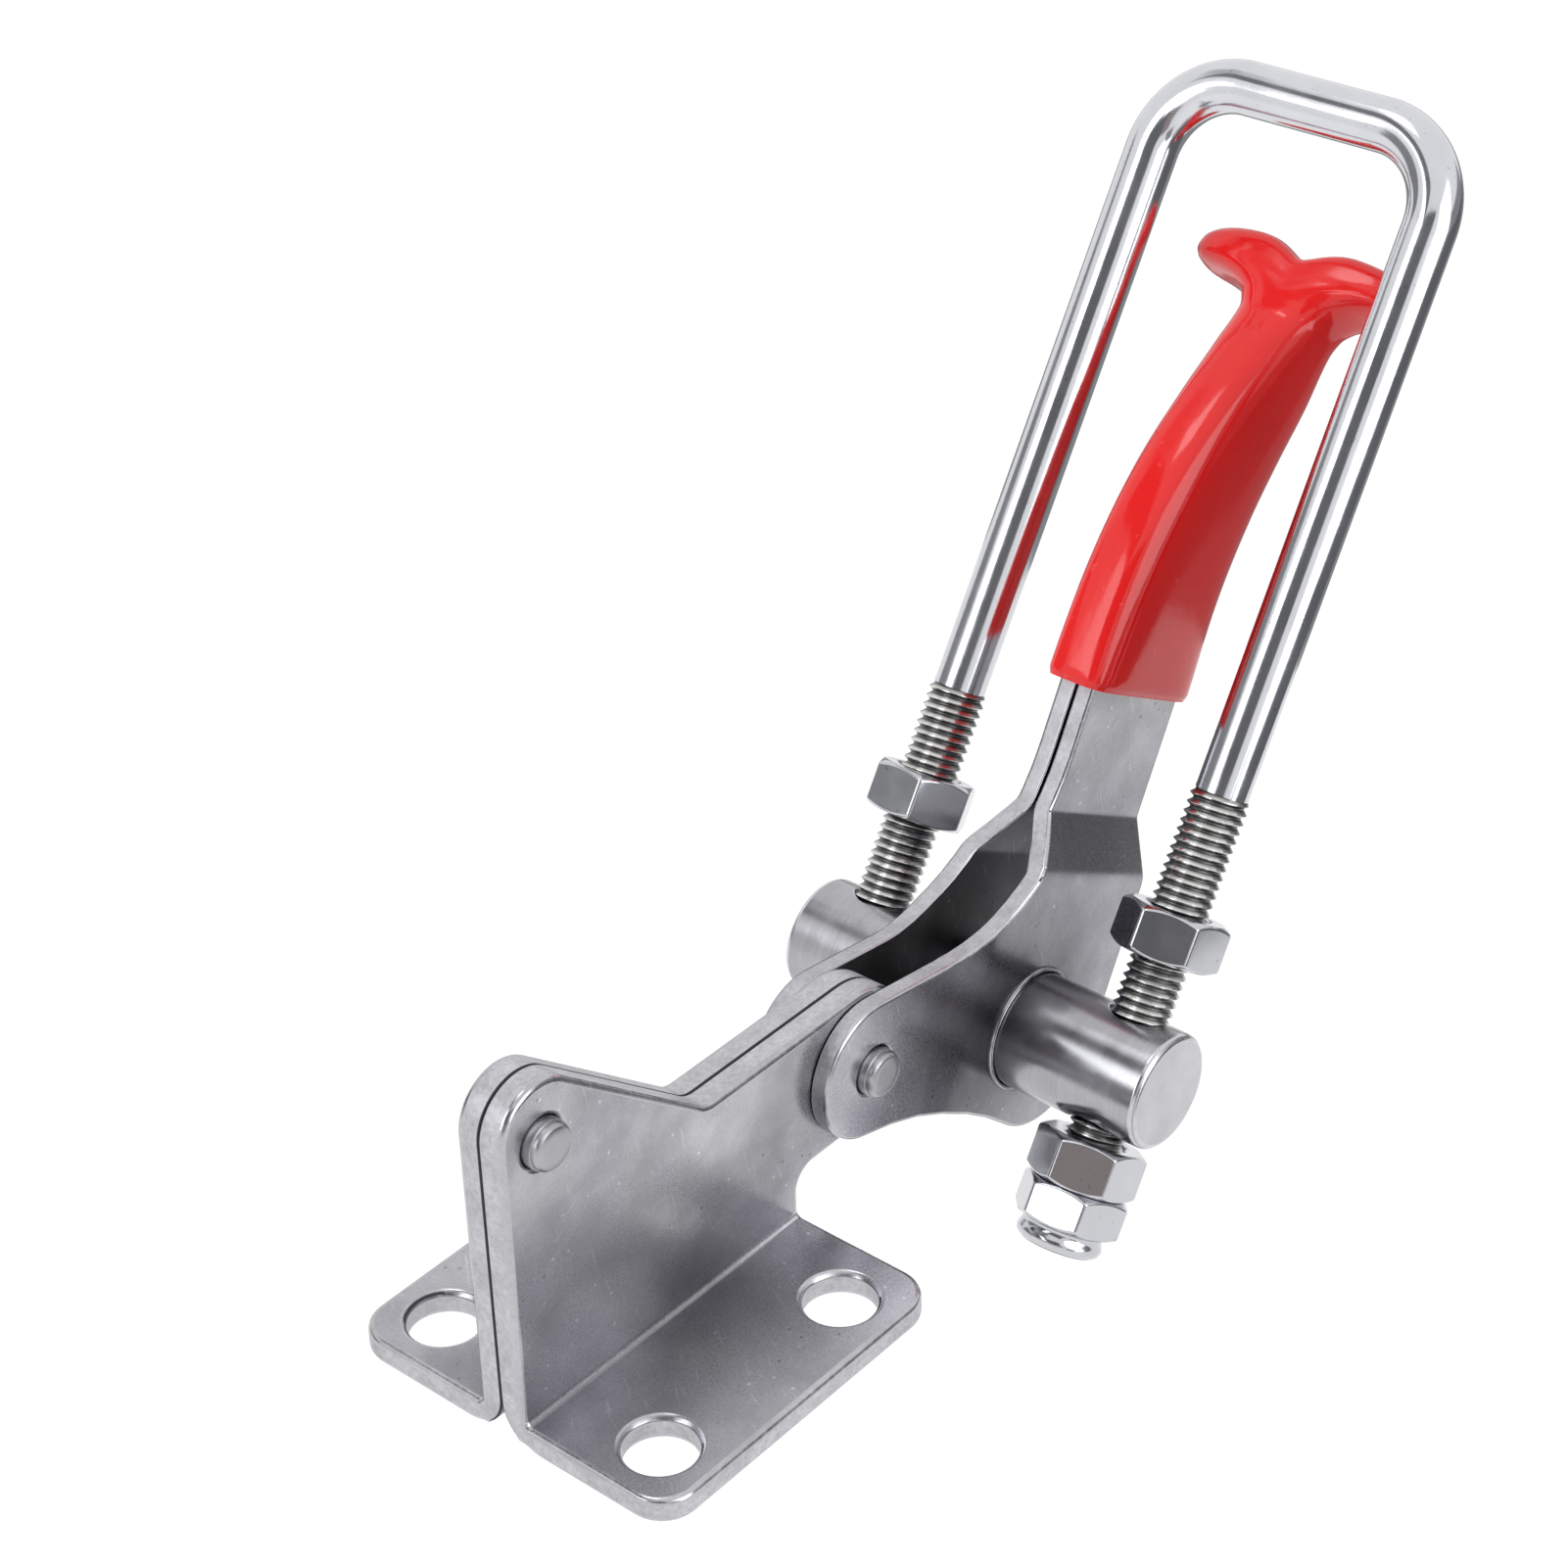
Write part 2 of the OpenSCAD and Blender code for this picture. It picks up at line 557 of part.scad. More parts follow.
module u_bolt() {
    top = hook_reach - hook_bend_r;
    half_bar = leg_pitch / 2 - hook_bend_r;
    color([0.8, 0.8, 0.81]) {
        for (side = [right, left]) leg_frame(side) {
            rotate_extrude() polygon([
                [0, leg_end], [thread_r - leg_chamfer, leg_end], [thread_r, leg_end + leg_chamfer],
                [thread_r, thread_top], [shank_r, thread_top + thread_r - shank_r],
                [shank_r, top], [0, top]]);
            translate([0, -side * hook_bend_r, top]) rotate([0, -90, side > 0 ? 0 : 180])
                rotate_extrude(angle = 90) translate([hook_bend_r, 0]) circle(r = shank_r);
        }
        leg_frame(0) translate([0, half_bar, hook_reach]) rotate([90, 0, 0])
            cylinder(h = 2 * half_bar, r = shank_r);
    }
}

// Revolved outline that cuts the corners of a hexagon at 30 degrees
module hex_blank(h) {
    flat_r = nut_af / 2 * 0.96;
    cut = (nut_corner_r - flat_r) * tan(30);
    intersection() {
        cylinder(h = h, r = nut_corner_r, $fn = 6);
        rotate_extrude() polygon([[0, 0], [flat_r, 0], [nut_corner_r, cut],
                                  [nut_corner_r, h - cut], [flat_r, h], [0, h]]);
    }
}

module plain_nut() {
    mouth = 0.5;
    difference() {
        hex_blank(nut_h);
        translate([0, 0, -1]) cylinder(h = nut_h + 2, r = nut_bore_r);
        for (end = [0, 1]) translate([0, 0, end * nut_h]) mirror([0, 0, end])
            translate([0, 0, -1]) cylinder(h = 1 + mouth, r1 = nut_bore_r + mouth + 1, r2 = nut_bore_r);
    }
}

ring_groove_r = lock_collar_d / 2 - 0.8;
ring_t = lock_collar_h - 0.7;
// Lock nut: its collar points down, with a groove for the nylon ring
module lock_nut() {
    h = lock_hex_h + lock_collar_h;
    collar_r = lock_collar_d / 2;
    difference() {
        union() {
            translate([0, 0, lock_collar_h]) hex_blank(lock_hex_h);
            rotate_extrude() polygon([[0, 0], [collar_r - 1.1, 0], [collar_r - 0.4, 0.3],
                                      [collar_r, 1], [collar_r, lock_collar_h + 1],
                                      [0, lock_collar_h + 1]]);
        }
        translate([0, 0, -1]) cylinder(h = h + 2, r = nut_bore_r);
        translate([0, 0, 0.5]) cylinder(h = ring_t + 0.1, r = ring_groove_r);
        translate([0, 0, -1]) cylinder(h = 2, r = nut_bore_r + 0.6);
    }
}

module nylon_ring() {
    rotate_extrude() translate([nut_bore_r, 0.5 + 0.05])
        square([ring_groove_r - nut_bore_r, ring_t]);
}

// Nuts sit on the legs with their hexagons turned as they were left
turn_upper_right = 46;
turn_upper_left = 16;
turn_lower = 51;
turn_lock = 32;

module on_leg(side, z, turn) { leg_frame(side) translate([0, 0, z]) rotate([0, 0, turn]) children(); }

module upper_nut_right() {
    color([0.75, 0.75, 0.76]) on_leg(right, trunnion_r + upper_gap_right, turn_upper_right) plain_nut();
}
module upper_nut_left() {
    color([0.75, 0.75, 0.76]) on_leg(left, trunnion_r + upper_gap_left, turn_upper_left) plain_nut();
}
module lower_nut_right() { color([0.75, 0.75, 0.76]) on_leg(right, lower_nut_z - nut_h, turn_lower) plain_nut(); }
module lower_nut_left() { color([0.75, 0.75, 0.76]) on_leg(left, lower_nut_z - nut_h, turn_lower) plain_nut(); }
module lock_nut_right() {
    color([0.78, 0.78, 0.8]) on_leg(right, lock_nut_z - lock_hex_h - lock_collar_h, turn_lock) lock_nut();
}
module lock_nut_left() {
    color([0.78, 0.78, 0.8]) on_leg(left, lock_nut_z - lock_hex_h - lock_collar_h, turn_lock) lock_nut();
}
module nylon_ring_right() {
    color([0.9, 0.9, 0.92]) on_leg(right, lock_nut_z - lock_hex_h - lock_collar_h, 0) nylon_ring();
}
module nylon_ring_left() {
    color([0.9, 0.9, 0.92]) on_leg(left, lock_nut_z - lock_hex_h - lock_collar_h, 0) nylon_ring();
}

base_bracket_right();
base_bracket_left();
heel_rivet();
pivot_rivet();
handle_plate_right();
handle_plate_left();
grip();
trunnion();
u_bolt();
upper_nut_right();
upper_nut_left();
lower_nut_right();
lower_nut_left();
lock_nut_right();
lock_nut_left();
nylon_ring_right();
nylon_ring_left();
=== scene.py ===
# %% [markdown]
# # Toggle clamp with a hooked U-bolt
#
# The clamp is a pair of riveted angle brackets, a pair of joggled handle plates in a
# red dipped grip, a cross bar called the trunnion, and a polished U-bolt whose threaded
# legs are held in it by nuts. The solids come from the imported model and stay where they
# are. This lesson dresses them: each step rebuilds one piece in finer mesh, or gives it
# the finish that the real metal or vinyl has.

# %% Load the solids
import json
import math

import bmesh
import bpy
import numpy as np
from mathutils import Matrix, Vector


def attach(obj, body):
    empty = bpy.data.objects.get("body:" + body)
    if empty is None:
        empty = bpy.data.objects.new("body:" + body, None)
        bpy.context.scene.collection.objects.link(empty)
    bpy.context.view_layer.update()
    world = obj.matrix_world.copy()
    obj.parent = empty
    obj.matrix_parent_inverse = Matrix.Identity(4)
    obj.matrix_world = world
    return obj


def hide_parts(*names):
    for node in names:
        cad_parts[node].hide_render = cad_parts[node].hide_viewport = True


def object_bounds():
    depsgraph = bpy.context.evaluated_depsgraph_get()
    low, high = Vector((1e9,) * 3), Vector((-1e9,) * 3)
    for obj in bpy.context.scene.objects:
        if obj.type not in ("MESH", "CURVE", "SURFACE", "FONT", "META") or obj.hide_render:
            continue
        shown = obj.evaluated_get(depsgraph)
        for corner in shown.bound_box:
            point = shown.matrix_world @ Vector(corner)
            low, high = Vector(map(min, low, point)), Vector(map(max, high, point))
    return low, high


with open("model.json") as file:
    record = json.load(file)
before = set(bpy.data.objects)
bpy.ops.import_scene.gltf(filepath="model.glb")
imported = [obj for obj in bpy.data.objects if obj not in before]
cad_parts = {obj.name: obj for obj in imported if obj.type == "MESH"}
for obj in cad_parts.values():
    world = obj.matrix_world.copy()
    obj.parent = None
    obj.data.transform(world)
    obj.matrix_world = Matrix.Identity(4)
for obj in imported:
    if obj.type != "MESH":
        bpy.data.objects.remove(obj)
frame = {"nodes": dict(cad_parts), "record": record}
cad_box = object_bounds()
mm = 0.001
body_with = {n: b for b, ns in frame["record"]["behaviour"]["bodies"].items() for n in ns}
print("pieces of the solid model:", len(frame["nodes"]), "box:", cad_box)

# %% [markdown]
# ## Where the camera stands
#
# The view is the photograph's: a long lens, about half a metre off, looking down along
# the clamp from its heel. Its place and turn were worked out beforehand from points
# that can be named on the object, such as the four mounting holes and the rivet ends.


# %% Camera
def add_object(name, data):
    added = bpy.data.objects.new(name, data)
    bpy.context.scene.collection.objects.link(added)
    return added


lens = bpy.data.cameras.new("camera")
lens.lens, lens.sensor_width, lens.sensor_fit = 81.57, 36, "HORIZONTAL"
lens.clip_start, lens.clip_end = 0.01, 50
camera = add_object("camera", lens)
camera.location = Vector((-233.107, -229.129, 288.791)) * mm
camera.rotation_euler = [math.radians(a) for a in (57.1415, 1.4392, -49.7462)]
bpy.context.scene.camera = camera
print("camera is", round((camera.location - Vector((0.05, 0, 0.04))).length, 3), "m away")

# %% [markdown]
# ## Small helpers for node trees
#
# Materials and geometry trees are both networks of nodes. `fill` gives a node its
# inputs: a value that is itself a socket is linked, and anything else is typed in.
# `lay` puts down a new node and fills it. `reckon` does arithmetic on as many values
# as it is given, and its commonest kinds have short names. A socket knows its tree as
# `id_data`, so most helpers need no tree named. They keep the cells below short enough
# to read.


# %% Laying nodes
def fill(node, inputs):
    for key, value in inputs.items():
        if isinstance(value, bpy.types.NodeSocket):
            node.id_data.links.new(value, node.inputs[key])
        else:
            node.inputs[key].default_value = value


def lay(tree, kind, inputs=None, **settings):
    node = tree.nodes.new(kind)
    for key, value in settings.items():
        setattr(node, key, value)
    fill(node, inputs or {})
    return node


def reckon(operation, value, *others):
    tree = next(v for v in (value, *others) if isinstance(v, bpy.types.NodeSocket)).id_data
    if not others:
        return lay(tree, "ShaderNodeMath", {0: value}, operation=operation).outputs[0]
    for other in others:
        value = lay(tree, "ShaderNodeMath", {0: value, 1: other}, operation=operation).outputs[0]
    return value


def plus(*values):
    return reckon("ADD", *values)


def minus(*values):
    return reckon("SUBTRACT", *values)


def times(*values):
    return reckon("MULTIPLY", *values)


def over(value, divisor):
    return reckon("DIVIDE", value, divisor)


# %% [markdown]
# ## Building a finish
#
# Every finish starts as one physically based shader. Its colour, roughness and dents
# are then driven by noise that is measured in the object's own metres, so a scale of
# 1000 means marks about a millimetre apart. Real sheet has large soft clouds from
# rolling, a fine grain, and a few pits and scratches, so each finish mixes those at
# true size. Noise seldom leaves the range from 0.3 to 0.7, and `spread` stretches that
# range over the two limits that it is given.


# %% Parts of a finish
def start_finish(name):
    material = bpy.data.materials.new(name)
    material.use_nodes = True
    tree = material.node_tree
    tree.nodes.clear()
    shader = tree.nodes.new("ShaderNodeBsdfPrincipled")
    lay(tree, "ShaderNodeOutputMaterial", {"Surface": shader.outputs[0]})
    return material, tree, shader


def object_place(tree, stretch=(1, 1, 1), shift=(0, 0, 0), turn=(0, 0, 0)):
    here = lay(tree, "ShaderNodeTexCoord").outputs["Object"]
    turned = lay(tree, "ShaderNodeMapping", {"Vector": here, "Rotation": turn}).outputs[0]
    return lay(tree, "ShaderNodeMapping", {"Vector": turned, "Location": shift, "Scale": stretch}).outputs[0]


def clouds(place, scale, detail, rough):
    return lay(place.id_data, "ShaderNodeTexNoise", {
        "Vector": place, "Scale": scale, "Detail": detail, "Roughness": rough}).outputs["Fac"]


def fitted(value, low, high, to_low, to_high):
    return lay(value.id_data, "ShaderNodeMapRange", {
        "Value": value, "From Min": low, "From Max": high,
        "To Min": to_low, "To Max": to_high}).outputs["Result"]


def spread(noise, to_low, to_high):
    return fitted(noise, 0.3, 0.7, to_low, to_high)


def flecks(place, scale, inner, outer):
    """Round marks scattered `scale` to the metre, each fading from its inner to its outer radius."""
    cells = lay(place.id_data, "ShaderNodeTexVoronoi", {"Vector": place, "Scale": scale})
    return fitted(cells.outputs["Distance"], inner, outer, 1.0, 0.0)


def tinted(value, tint):
    scaled = [times(value, t) for t in tint]
    return lay(value.id_data, "ShaderNodeCombineColor", dict(enumerate(scaled))).outputs[0]


def dented(height, depth):
    return lay(height.id_data, "ShaderNodeBump", {
        "Height": height, "Distance": depth, "Strength": 1.0}).outputs[0]


def make_metal(shader, value, tint, gloss, height, depth):
    fill(shader, {"Base Color": tinted(value, tint), "Metallic": 1.0,
                        "Roughness": gloss, "Normal": dented(height, depth)})


# %% [markdown]
# ## Rolled stainless sheet
#
# The brackets and the handle plates are stamped from rolled stainless sheet and
# tumbled afterwards. The skin is a satin mid grey with cloudy patches a centimetre
# wide, a fine matt grain, small dark pits, pale dings from the other parts in the drum,
# and hair scratches. A mirror with a flat roughness would look like foil, so both
# colour and roughness vary. A piece may also say where its skin is made darker and
# lighter: on a bracket that is painted shade and painted reflection round the fold,
# and on a handle plate the skin is darker round the trunnion and lighter at the ears.


# %% Sheet skin
def sheet_skin(name, tone, shift, rough, darkening):
    """darkening(x, y, z in mm) is low where the skin is made darker and 1 or more elsewhere."""
    material, tree, shader = start_finish(name)
    place = object_place(tree, shift=shift)
    in_mm = lay(tree, "ShaderNodeSeparateXYZ", {0: object_place(tree, (1000, 1000, 1000))}).outputs
    cloud = clouds(place, 34, 2.0, 0.5)
    patch = clouds(place, 130, 4.0, 0.6)
    grain = clouds(place, 2600, 3.0, 0.7)
    lines = [clouds(object_place(tree, (160, 160, 3200), shift, (turn, turn, turn)), 1.0, 1.0, 0.5)
             for turn in (0.5, -1.1)]
    scratch = fitted(reckon("MAXIMUM", *lines), 0.71, 0.74, 0.0, 1.0)
    rare = fitted(clouds(place, 80, 2.0, 0.5), 0.52, 0.6, 0.0, 1.0)
    pitted = times(flecks(place, 520, 0.05, 0.16), rare)
    ding = flecks(place, 330, 0.04, 0.1)
    value = times(spread(cloud, tone * 0.82, tone * 1.18), spread(patch, 0.92, 1.07),
                  spread(grain, 0.9, 1.1), fitted(pitted, 0.0, 1.0, 1.0, 0.5))
    value = plus(value, times(scratch, 0.08), times(ding, 0.22))
    # The darkening map scales the skin's colour; on a bracket it is painted shade and painted reflection
    # round the fold.
    lightness = plus(darkening(*in_mm), spread(patch, -0.15, 0.15))
    value = times(value, fitted(lightness, -1.0, 2.5, 0.16, 1.7))
    cool = fitted(cloud, 0.35, 0.65, 1.08, 1.02)
    gloss = plus(spread(patch, rough + 0.06, rough - 0.04), spread(grain, -0.03, 0.05))
    height = minus(plus(grain, times(patch, 2.0)), times(pitted, 2.0))
    make_metal(shader, value, (1.0, 0.982, cool), gloss, height, 0.006 * mm)
    return material


def distance(a, b, a0, b0):
    off = [minus(a, a0), minus(b, b0)]
    return reckon("SQRT", plus(*[times(d, d) for d in off]))


def painted_fold_shade(x, y, z):
    """Painted shade and painted reflection: dark low on the web and along the fold, light in the heel's
    corner and far out on the flange.
    """
    on_web = fitted(z, 3.7, 4.6, 0.0, 1.0)
    narrowed = times(x, 0.6)
    web = plus(fitted(distance(narrowed, z, 4.5, 12.0), 5.5, 15.0, 0.2, 1.05),
               fitted(distance(x, z, -12.0, 5.0), 3.0, 14.0, 2.0, 0.0))
    flange = plus(fitted(reckon("ABSOLUTE", y), 5.0, 19.0, 0.1, 1.1),
                  fitted(x, 9.0, 22.0, 0.0, 2.0))
    return plus(times(on_web, web), times(minus(1.0, on_web), flange))


def darker_round_trunnion(x, y, z):
    """Darker round the trunnion and lighter at the ears."""
    near = fitted(distance(x, z, 63.0, 12.0), 5.0, 21.0, -0.75, 1.15)
    return plus(near, fitted(x, 40.0, 48.0, 1.2, 0.0))


def no_darkening(x, y, z):
    return 1.0


# The brackets' skin carries painted shade and painted reflection round the fold.
bracket_skin = sheet_skin("bracket_sheet_skin", 0.405, (0.02, 0.01, 0.05), 0.26, painted_fold_shade)
plate_skin = sheet_skin("plate_sheet_skin", 0.34, (0.31, 0.17, 0.05), 0.24, darker_round_trunnion)
# Painted shade: the inner faces, where the sheets face each other, are coloured dark as shade between them.
inner_skin = sheet_skin("untumbled_inner_skin", 0.12, (0.11, 0.4, 0.2), 0.4, no_darkening)
print("sheet skins:", bracket_skin.name, plate_skin.name, inner_skin.name)

# %% [markdown]
# ## The sheared edge and the rolled corner
#
# A stamping press shears the sheet through. Its cut edge is torn and granular and
# scatters light, so it looks paler than the skin. Tumbling then rubs the corners
# smooth and bright. These are two more finishes, and the mesh says which face has
# which. The narrow seam where the two brackets meet is the same corner, painted
# nearly black as shade in the gap.


# %% Edge finishes
steel_tint = (1.0, 0.99, 1.04)


def sheared_edge(name, tone, depth):
    material, tree, shader = start_finish(name)
    torn = clouds(object_place(tree), 1500, 4.0, 0.7)
    drag = clouds(object_place(tree), 260, 3.0, 0.6)
    value = times(spread(torn, tone * 0.8, tone * 1.2), spread(drag, 0.86, 1.1))
    make_metal(shader, value, steel_tint, spread(torn, 0.42, 0.56), torn, depth)
    return material


def rubbed_corner(name, tone, rough):
    material, tree, shader = start_finish(name)
    rub = clouds(object_place(tree), 900, 3.0, 0.6)
    wear = clouds(object_place(tree), 60, 3.0, 0.6)
    value = times(spread(rub, tone * 0.9, tone * 1.08), spread(wear, 0.86, 1.1))
    gloss = spread(rub, rough - 0.04, rough + 0.08)
    make_metal(shader, value, steel_tint, gloss, rub, 0.006 * mm)
    return material


plate_edge = sheared_edge("torn_plate_edge", 0.5, 0.03 * mm)
bracket_edge = sheared_edge("tumbled_bracket_edge", 0.54, 0.01 * mm)
sheet_corner = rubbed_corner("rubbed_corner", 0.5, 0.2)
# Painted shade: the seam's corners are coloured nearly black, standing for shade in the gap between the
# brackets.
seam_grime = rubbed_corner("seam_grime", 0.07, 0.6)
print("edge finishes:", plate_edge.name, bracket_edge.name, sheet_corner.name, seam_grime.name)

# %% [markdown]
# ## Turned and polished metal
#
# The trunnion and the rivets are turned on a lathe: fine rings run round their axis,
# so the noise for their dents is squeezed into a stack of discs across it. The U-bolt
# and the nuts are polished all over. Their colour is nearly flat, and what one sees in
# them is the room.


# %% Turned steel
def turned_steel(name, tone, rough):
    material, tree, shader = start_finish(name)
    rings = clouds(object_place(tree, (30, 5200, 30)), 1.0, 4.0, 0.65)
    patch = clouds(object_place(tree), 160, 3.0, 0.55)
    speck = clouds(object_place(tree), 2600, 2.0, 0.6)
    value = times(spread(patch, tone * 0.88, tone * 1.1), spread(rings, 0.93, 1.06))
    gloss = spread(patch, rough - 0.05, rough + 0.07)
    height = plus(rings, times(speck, 0.6))
    make_metal(shader, value, steel_tint, gloss, height, 0.004 * mm)
    return material


trunnion_steel = turned_steel("turned_trunnion", 0.42, 0.22)
faced_steel = turned_steel("faced_end", 0.54, 0.24)
trunnion_lip = rubbed_corner("trunnion_lip", 0.6, 0.2)
rivet_steel = turned_steel("turned_rivet", 0.42, 0.3)
print("turned finishes:", trunnion_steel.name, faced_steel.name, trunnion_lip.name, rivet_steel.name)


# %% Polished steel of the U-bolt and the nuts
def polished_steel(name, tone, rough):
    material, tree, shader = start_finish(name)
    place = object_place(tree)
    haze = clouds(place, 120, 3.0, 0.6)
    hair = clouds(place, 1500, 3.0, 0.7)
    speck = fitted(clouds(place, 1400, 1.0, 0.5), 0.7, 0.76, 0.0, 1.0)
    value = minus(spread(haze, tone * 0.95, tone * 1.04), times(speck, 0.12))
    gloss = spread(haze, rough * 0.7, rough * 1.4)
    height = plus(hair, times(haze, 2.0))
    make_metal(shader, value, (0.99, 1.0, 1.05), gloss, height, 0.003 * mm)
    return material


rod_steel = polished_steel("polished_rod", 0.66, 0.13)
nut_steel = polished_steel("polished_nut", 0.58, 0.15)
print("polished finishes:", rod_steel.name, nut_steel.name)

# %% [markdown]
# ## The thread's finish, with painted shade and highlight
#
# The thread's colour is painted dark in the grooves, as painted shade, and pale on the
# crests, as painted highlight; the crests are also smoother. The mesh of the thread
# stores how high each point stands, as an attribute named `crest`, and the finish
# reads it. Noise couldn't follow the winding this closely.

# %% Rolled thread
thread_steel, tree, shader = start_finish("rolled_thread")
crest = lay(tree, "ShaderNodeAttribute", attribute_name="crest").outputs["Fac"]
dirt = clouds(object_place(tree), 420, 3.0, 0.6)
# Painted shade in the grooves and painted highlight on the crests.
value = times(fitted(crest, 0.25, 1.0, 0.13, 0.74), spread(dirt, 0.8, 1.1))
gloss = fitted(crest, 0.0, 1.0, 0.34, 0.13)
make_metal(shader, value, (1.0, 0.985, 0.97), gloss, dirt, 0.006 * mm)
print("thread finish:", thread_steel.name)

# %% [markdown]
# ## Dipped vinyl and nylon
#
# The grip is made by dipping the hot plates in liquid vinyl. It sets with a wet gloss
# and a faint waviness where it ran, and at its thin lower edge light gets into it.
# The nylon rings in the lock nuts are a dull milky white.

# %% Vinyl and nylon
red_vinyl, tree, shader = start_finish("dipped_red_vinyl")
run = clouds(object_place(tree, (1, 1, 0.5)), 55, 2.0, 0.5)
skin = clouds(object_place(tree), 900, 2.0, 0.5)
dust = fitted(clouds(object_place(tree), 700, 1.0, 0.5), 0.74, 0.78, 0.0, 1.0)
red = plus(spread(run, 0.68, 0.74), times(dust, 0.06))
rest = plus(spread(run, 0.008, 0.012), times(dust, 0.03))
colour = lay(tree, "ShaderNodeCombineColor", {0: red, 1: rest, 2: rest}).outputs[0]
wavy = dented(plus(times(run, 6.0), skin), 0.008 * mm)
fill(shader, {
    "Base Color": colour, "Roughness": spread(skin, 0.09, 0.14), "Subsurface Weight": 0.12,
    "Subsurface Radius": (1.0, 0.12, 0.1), "Subsurface Scale": 0.8 * mm, "Normal": wavy})

nylon, tree, shader = start_finish("milky_nylon")
milk = clouds(object_place(tree), 500, 3.0, 0.6)
colour = tinted(spread(milk, 0.66, 0.74), (1.0, 0.98, 0.93))
fill(shader, {
    "Base Color": colour, "Roughness": 0.48, "Subsurface Weight": 0.3,
    "Subsurface Scale": 0.6 * mm, "Normal": dented(milk, 0.02 * mm)})
print("soft finishes:", red_vinyl.name, nylon.name)

# %% [markdown]
# ## From solid to stamping
#
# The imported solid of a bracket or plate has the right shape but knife-sharp corners.
# A real stamping has corners rubbed round, and those thin bright lines are what makes
# sheet metal look real. A copy of the solid is stitched together, its flat faces are
# joined, and its corners are rounded over. Only the corners between two limits of
# sharpness are taken at a time, so that each kind gets its own width.


# %% Rounding a copy of a solid
def stitched_copy(node):
    mesh = bmesh.new()
    mesh.from_mesh(frame["nodes"][node].data)
    bmesh.ops.remove_doubles(mesh, verts=mesh.verts, dist=0.002 * mm)
    bmesh.ops.dissolve_degenerate(mesh, edges=mesh.edges, dist=0.002 * mm)
    bmesh.ops.recalc_face_normals(mesh, faces=mesh.faces)
    bmesh.ops.dissolve_limit(mesh, angle_limit=math.radians(1.2), verts=mesh.verts, edges=mesh.edges)
    return mesh


def round_over(mesh, width, steps, sharper_than, blunter_than=181, only=None):
    edges = [e for e in mesh.edges
             if len(e.link_faces) == 2 and e.is_convex
             and sharper_than < math.degrees(e.calc_face_angle(0)) < blunter_than
             and (only is None or only(e))]
    made = bmesh.ops.bevel(mesh, geom=edges, offset=width, offset_type="OFFSET", segments=steps,
                           profile=0.55, affect="EDGES", clamp_overlap=False, loop_slide=False)
    return made["faces"]


def store_smooth(mesh, data):
    for face in mesh.faces:
        face.smooth = True
    mesh.to_mesh(data)
    mesh.free()


def finished_object(mesh, name, materials):
    data = bpy.data.meshes.new(name)
    store_smooth(mesh, data)
    for material in materials:
        data.materials.append(material)
    return add_object(name, data)


def apply_modifier(piece, modifier):
    """Copies what the modifier makes to a plain mesh, and takes the modifier off."""
    depsgraph = bpy.context.evaluated_depsgraph_get()
    piece.data = bpy.data.meshes.new_from_object(piece.evaluated_get(depsgraph))
    piece.modifiers.remove(modifier)
    piece.data.name = piece.name


def even_shading(piece, crease=40):
    """Flat faces keep their own normal, and the rounded corners blend between them."""
    piece.data.set_sharp_from_angle(angle=math.radians(crease))
    modifier = piece.modifiers.new("even", "WEIGHTED_NORMAL")
    modifier.keep_sharp = True
    apply_modifier(piece, modifier)


def hand_over(piece, nodes):
    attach(piece, body_with[nodes[0]])
    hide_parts(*nodes)
    print(piece.name, "has", len(piece.data.polygons), "faces and stands for", ", ".join(nodes))


# %% [markdown]
# ## Telling skin from sheared edge
#
# On a sheet the skin's normal points through the thickness, and the sheared edge's lies
# along the sheet. On a bracket the sheet stands up as a web, turns through the fold and
# lies down as a flange, so the direction through the thickness depends on the place.


# %% Face rules
past_sheet, fold_side, fold_top, end_top = 3.6 * mm, 6 * mm, 6.2 * mm, 8 * mm
hardly_along, mostly_along = 0.3, 0.9


def bracket_is_sheared(centre, normal):
    on_end = centre.z < end_top and abs(normal.x) > mostly_along
    on_web = abs(centre.y) < past_sheet and centre.z > fold_top and abs(normal.y) < hardly_along
    on_flange = centre.z < past_sheet and abs(centre.y) > fold_side and abs(normal.z) < hardly_along
    return on_end or on_web or on_flange


def plate_is_sheared(centre, normal):
    return abs(normal.y) < hardly_along


# %% [markdown]
# ## Dressing a stamping
#
# Each face of a stamping is sorted into skin, sheared edge or hidden inner face before
# any corner is rounded, because the new faces need their neighbours sorted. The
# corners round the outer skin are tumbled the widest. The blunter ones, where a bend
# or a chamfer ends, get a narrow rounding. Those round the inner face stay nearly
# sharp, and on a bracket they form the seam, which is painted nearly black as shade.


# %% Dressing
skin_face, sheared_face, corner_face, inner_corner, inner_face = range(5)
bend_width, inner_width = 0.22 * mm, 0.25 * mm


def beside(index):
    return lambda edge: any(face.material_index == index for face in edge.link_faces)


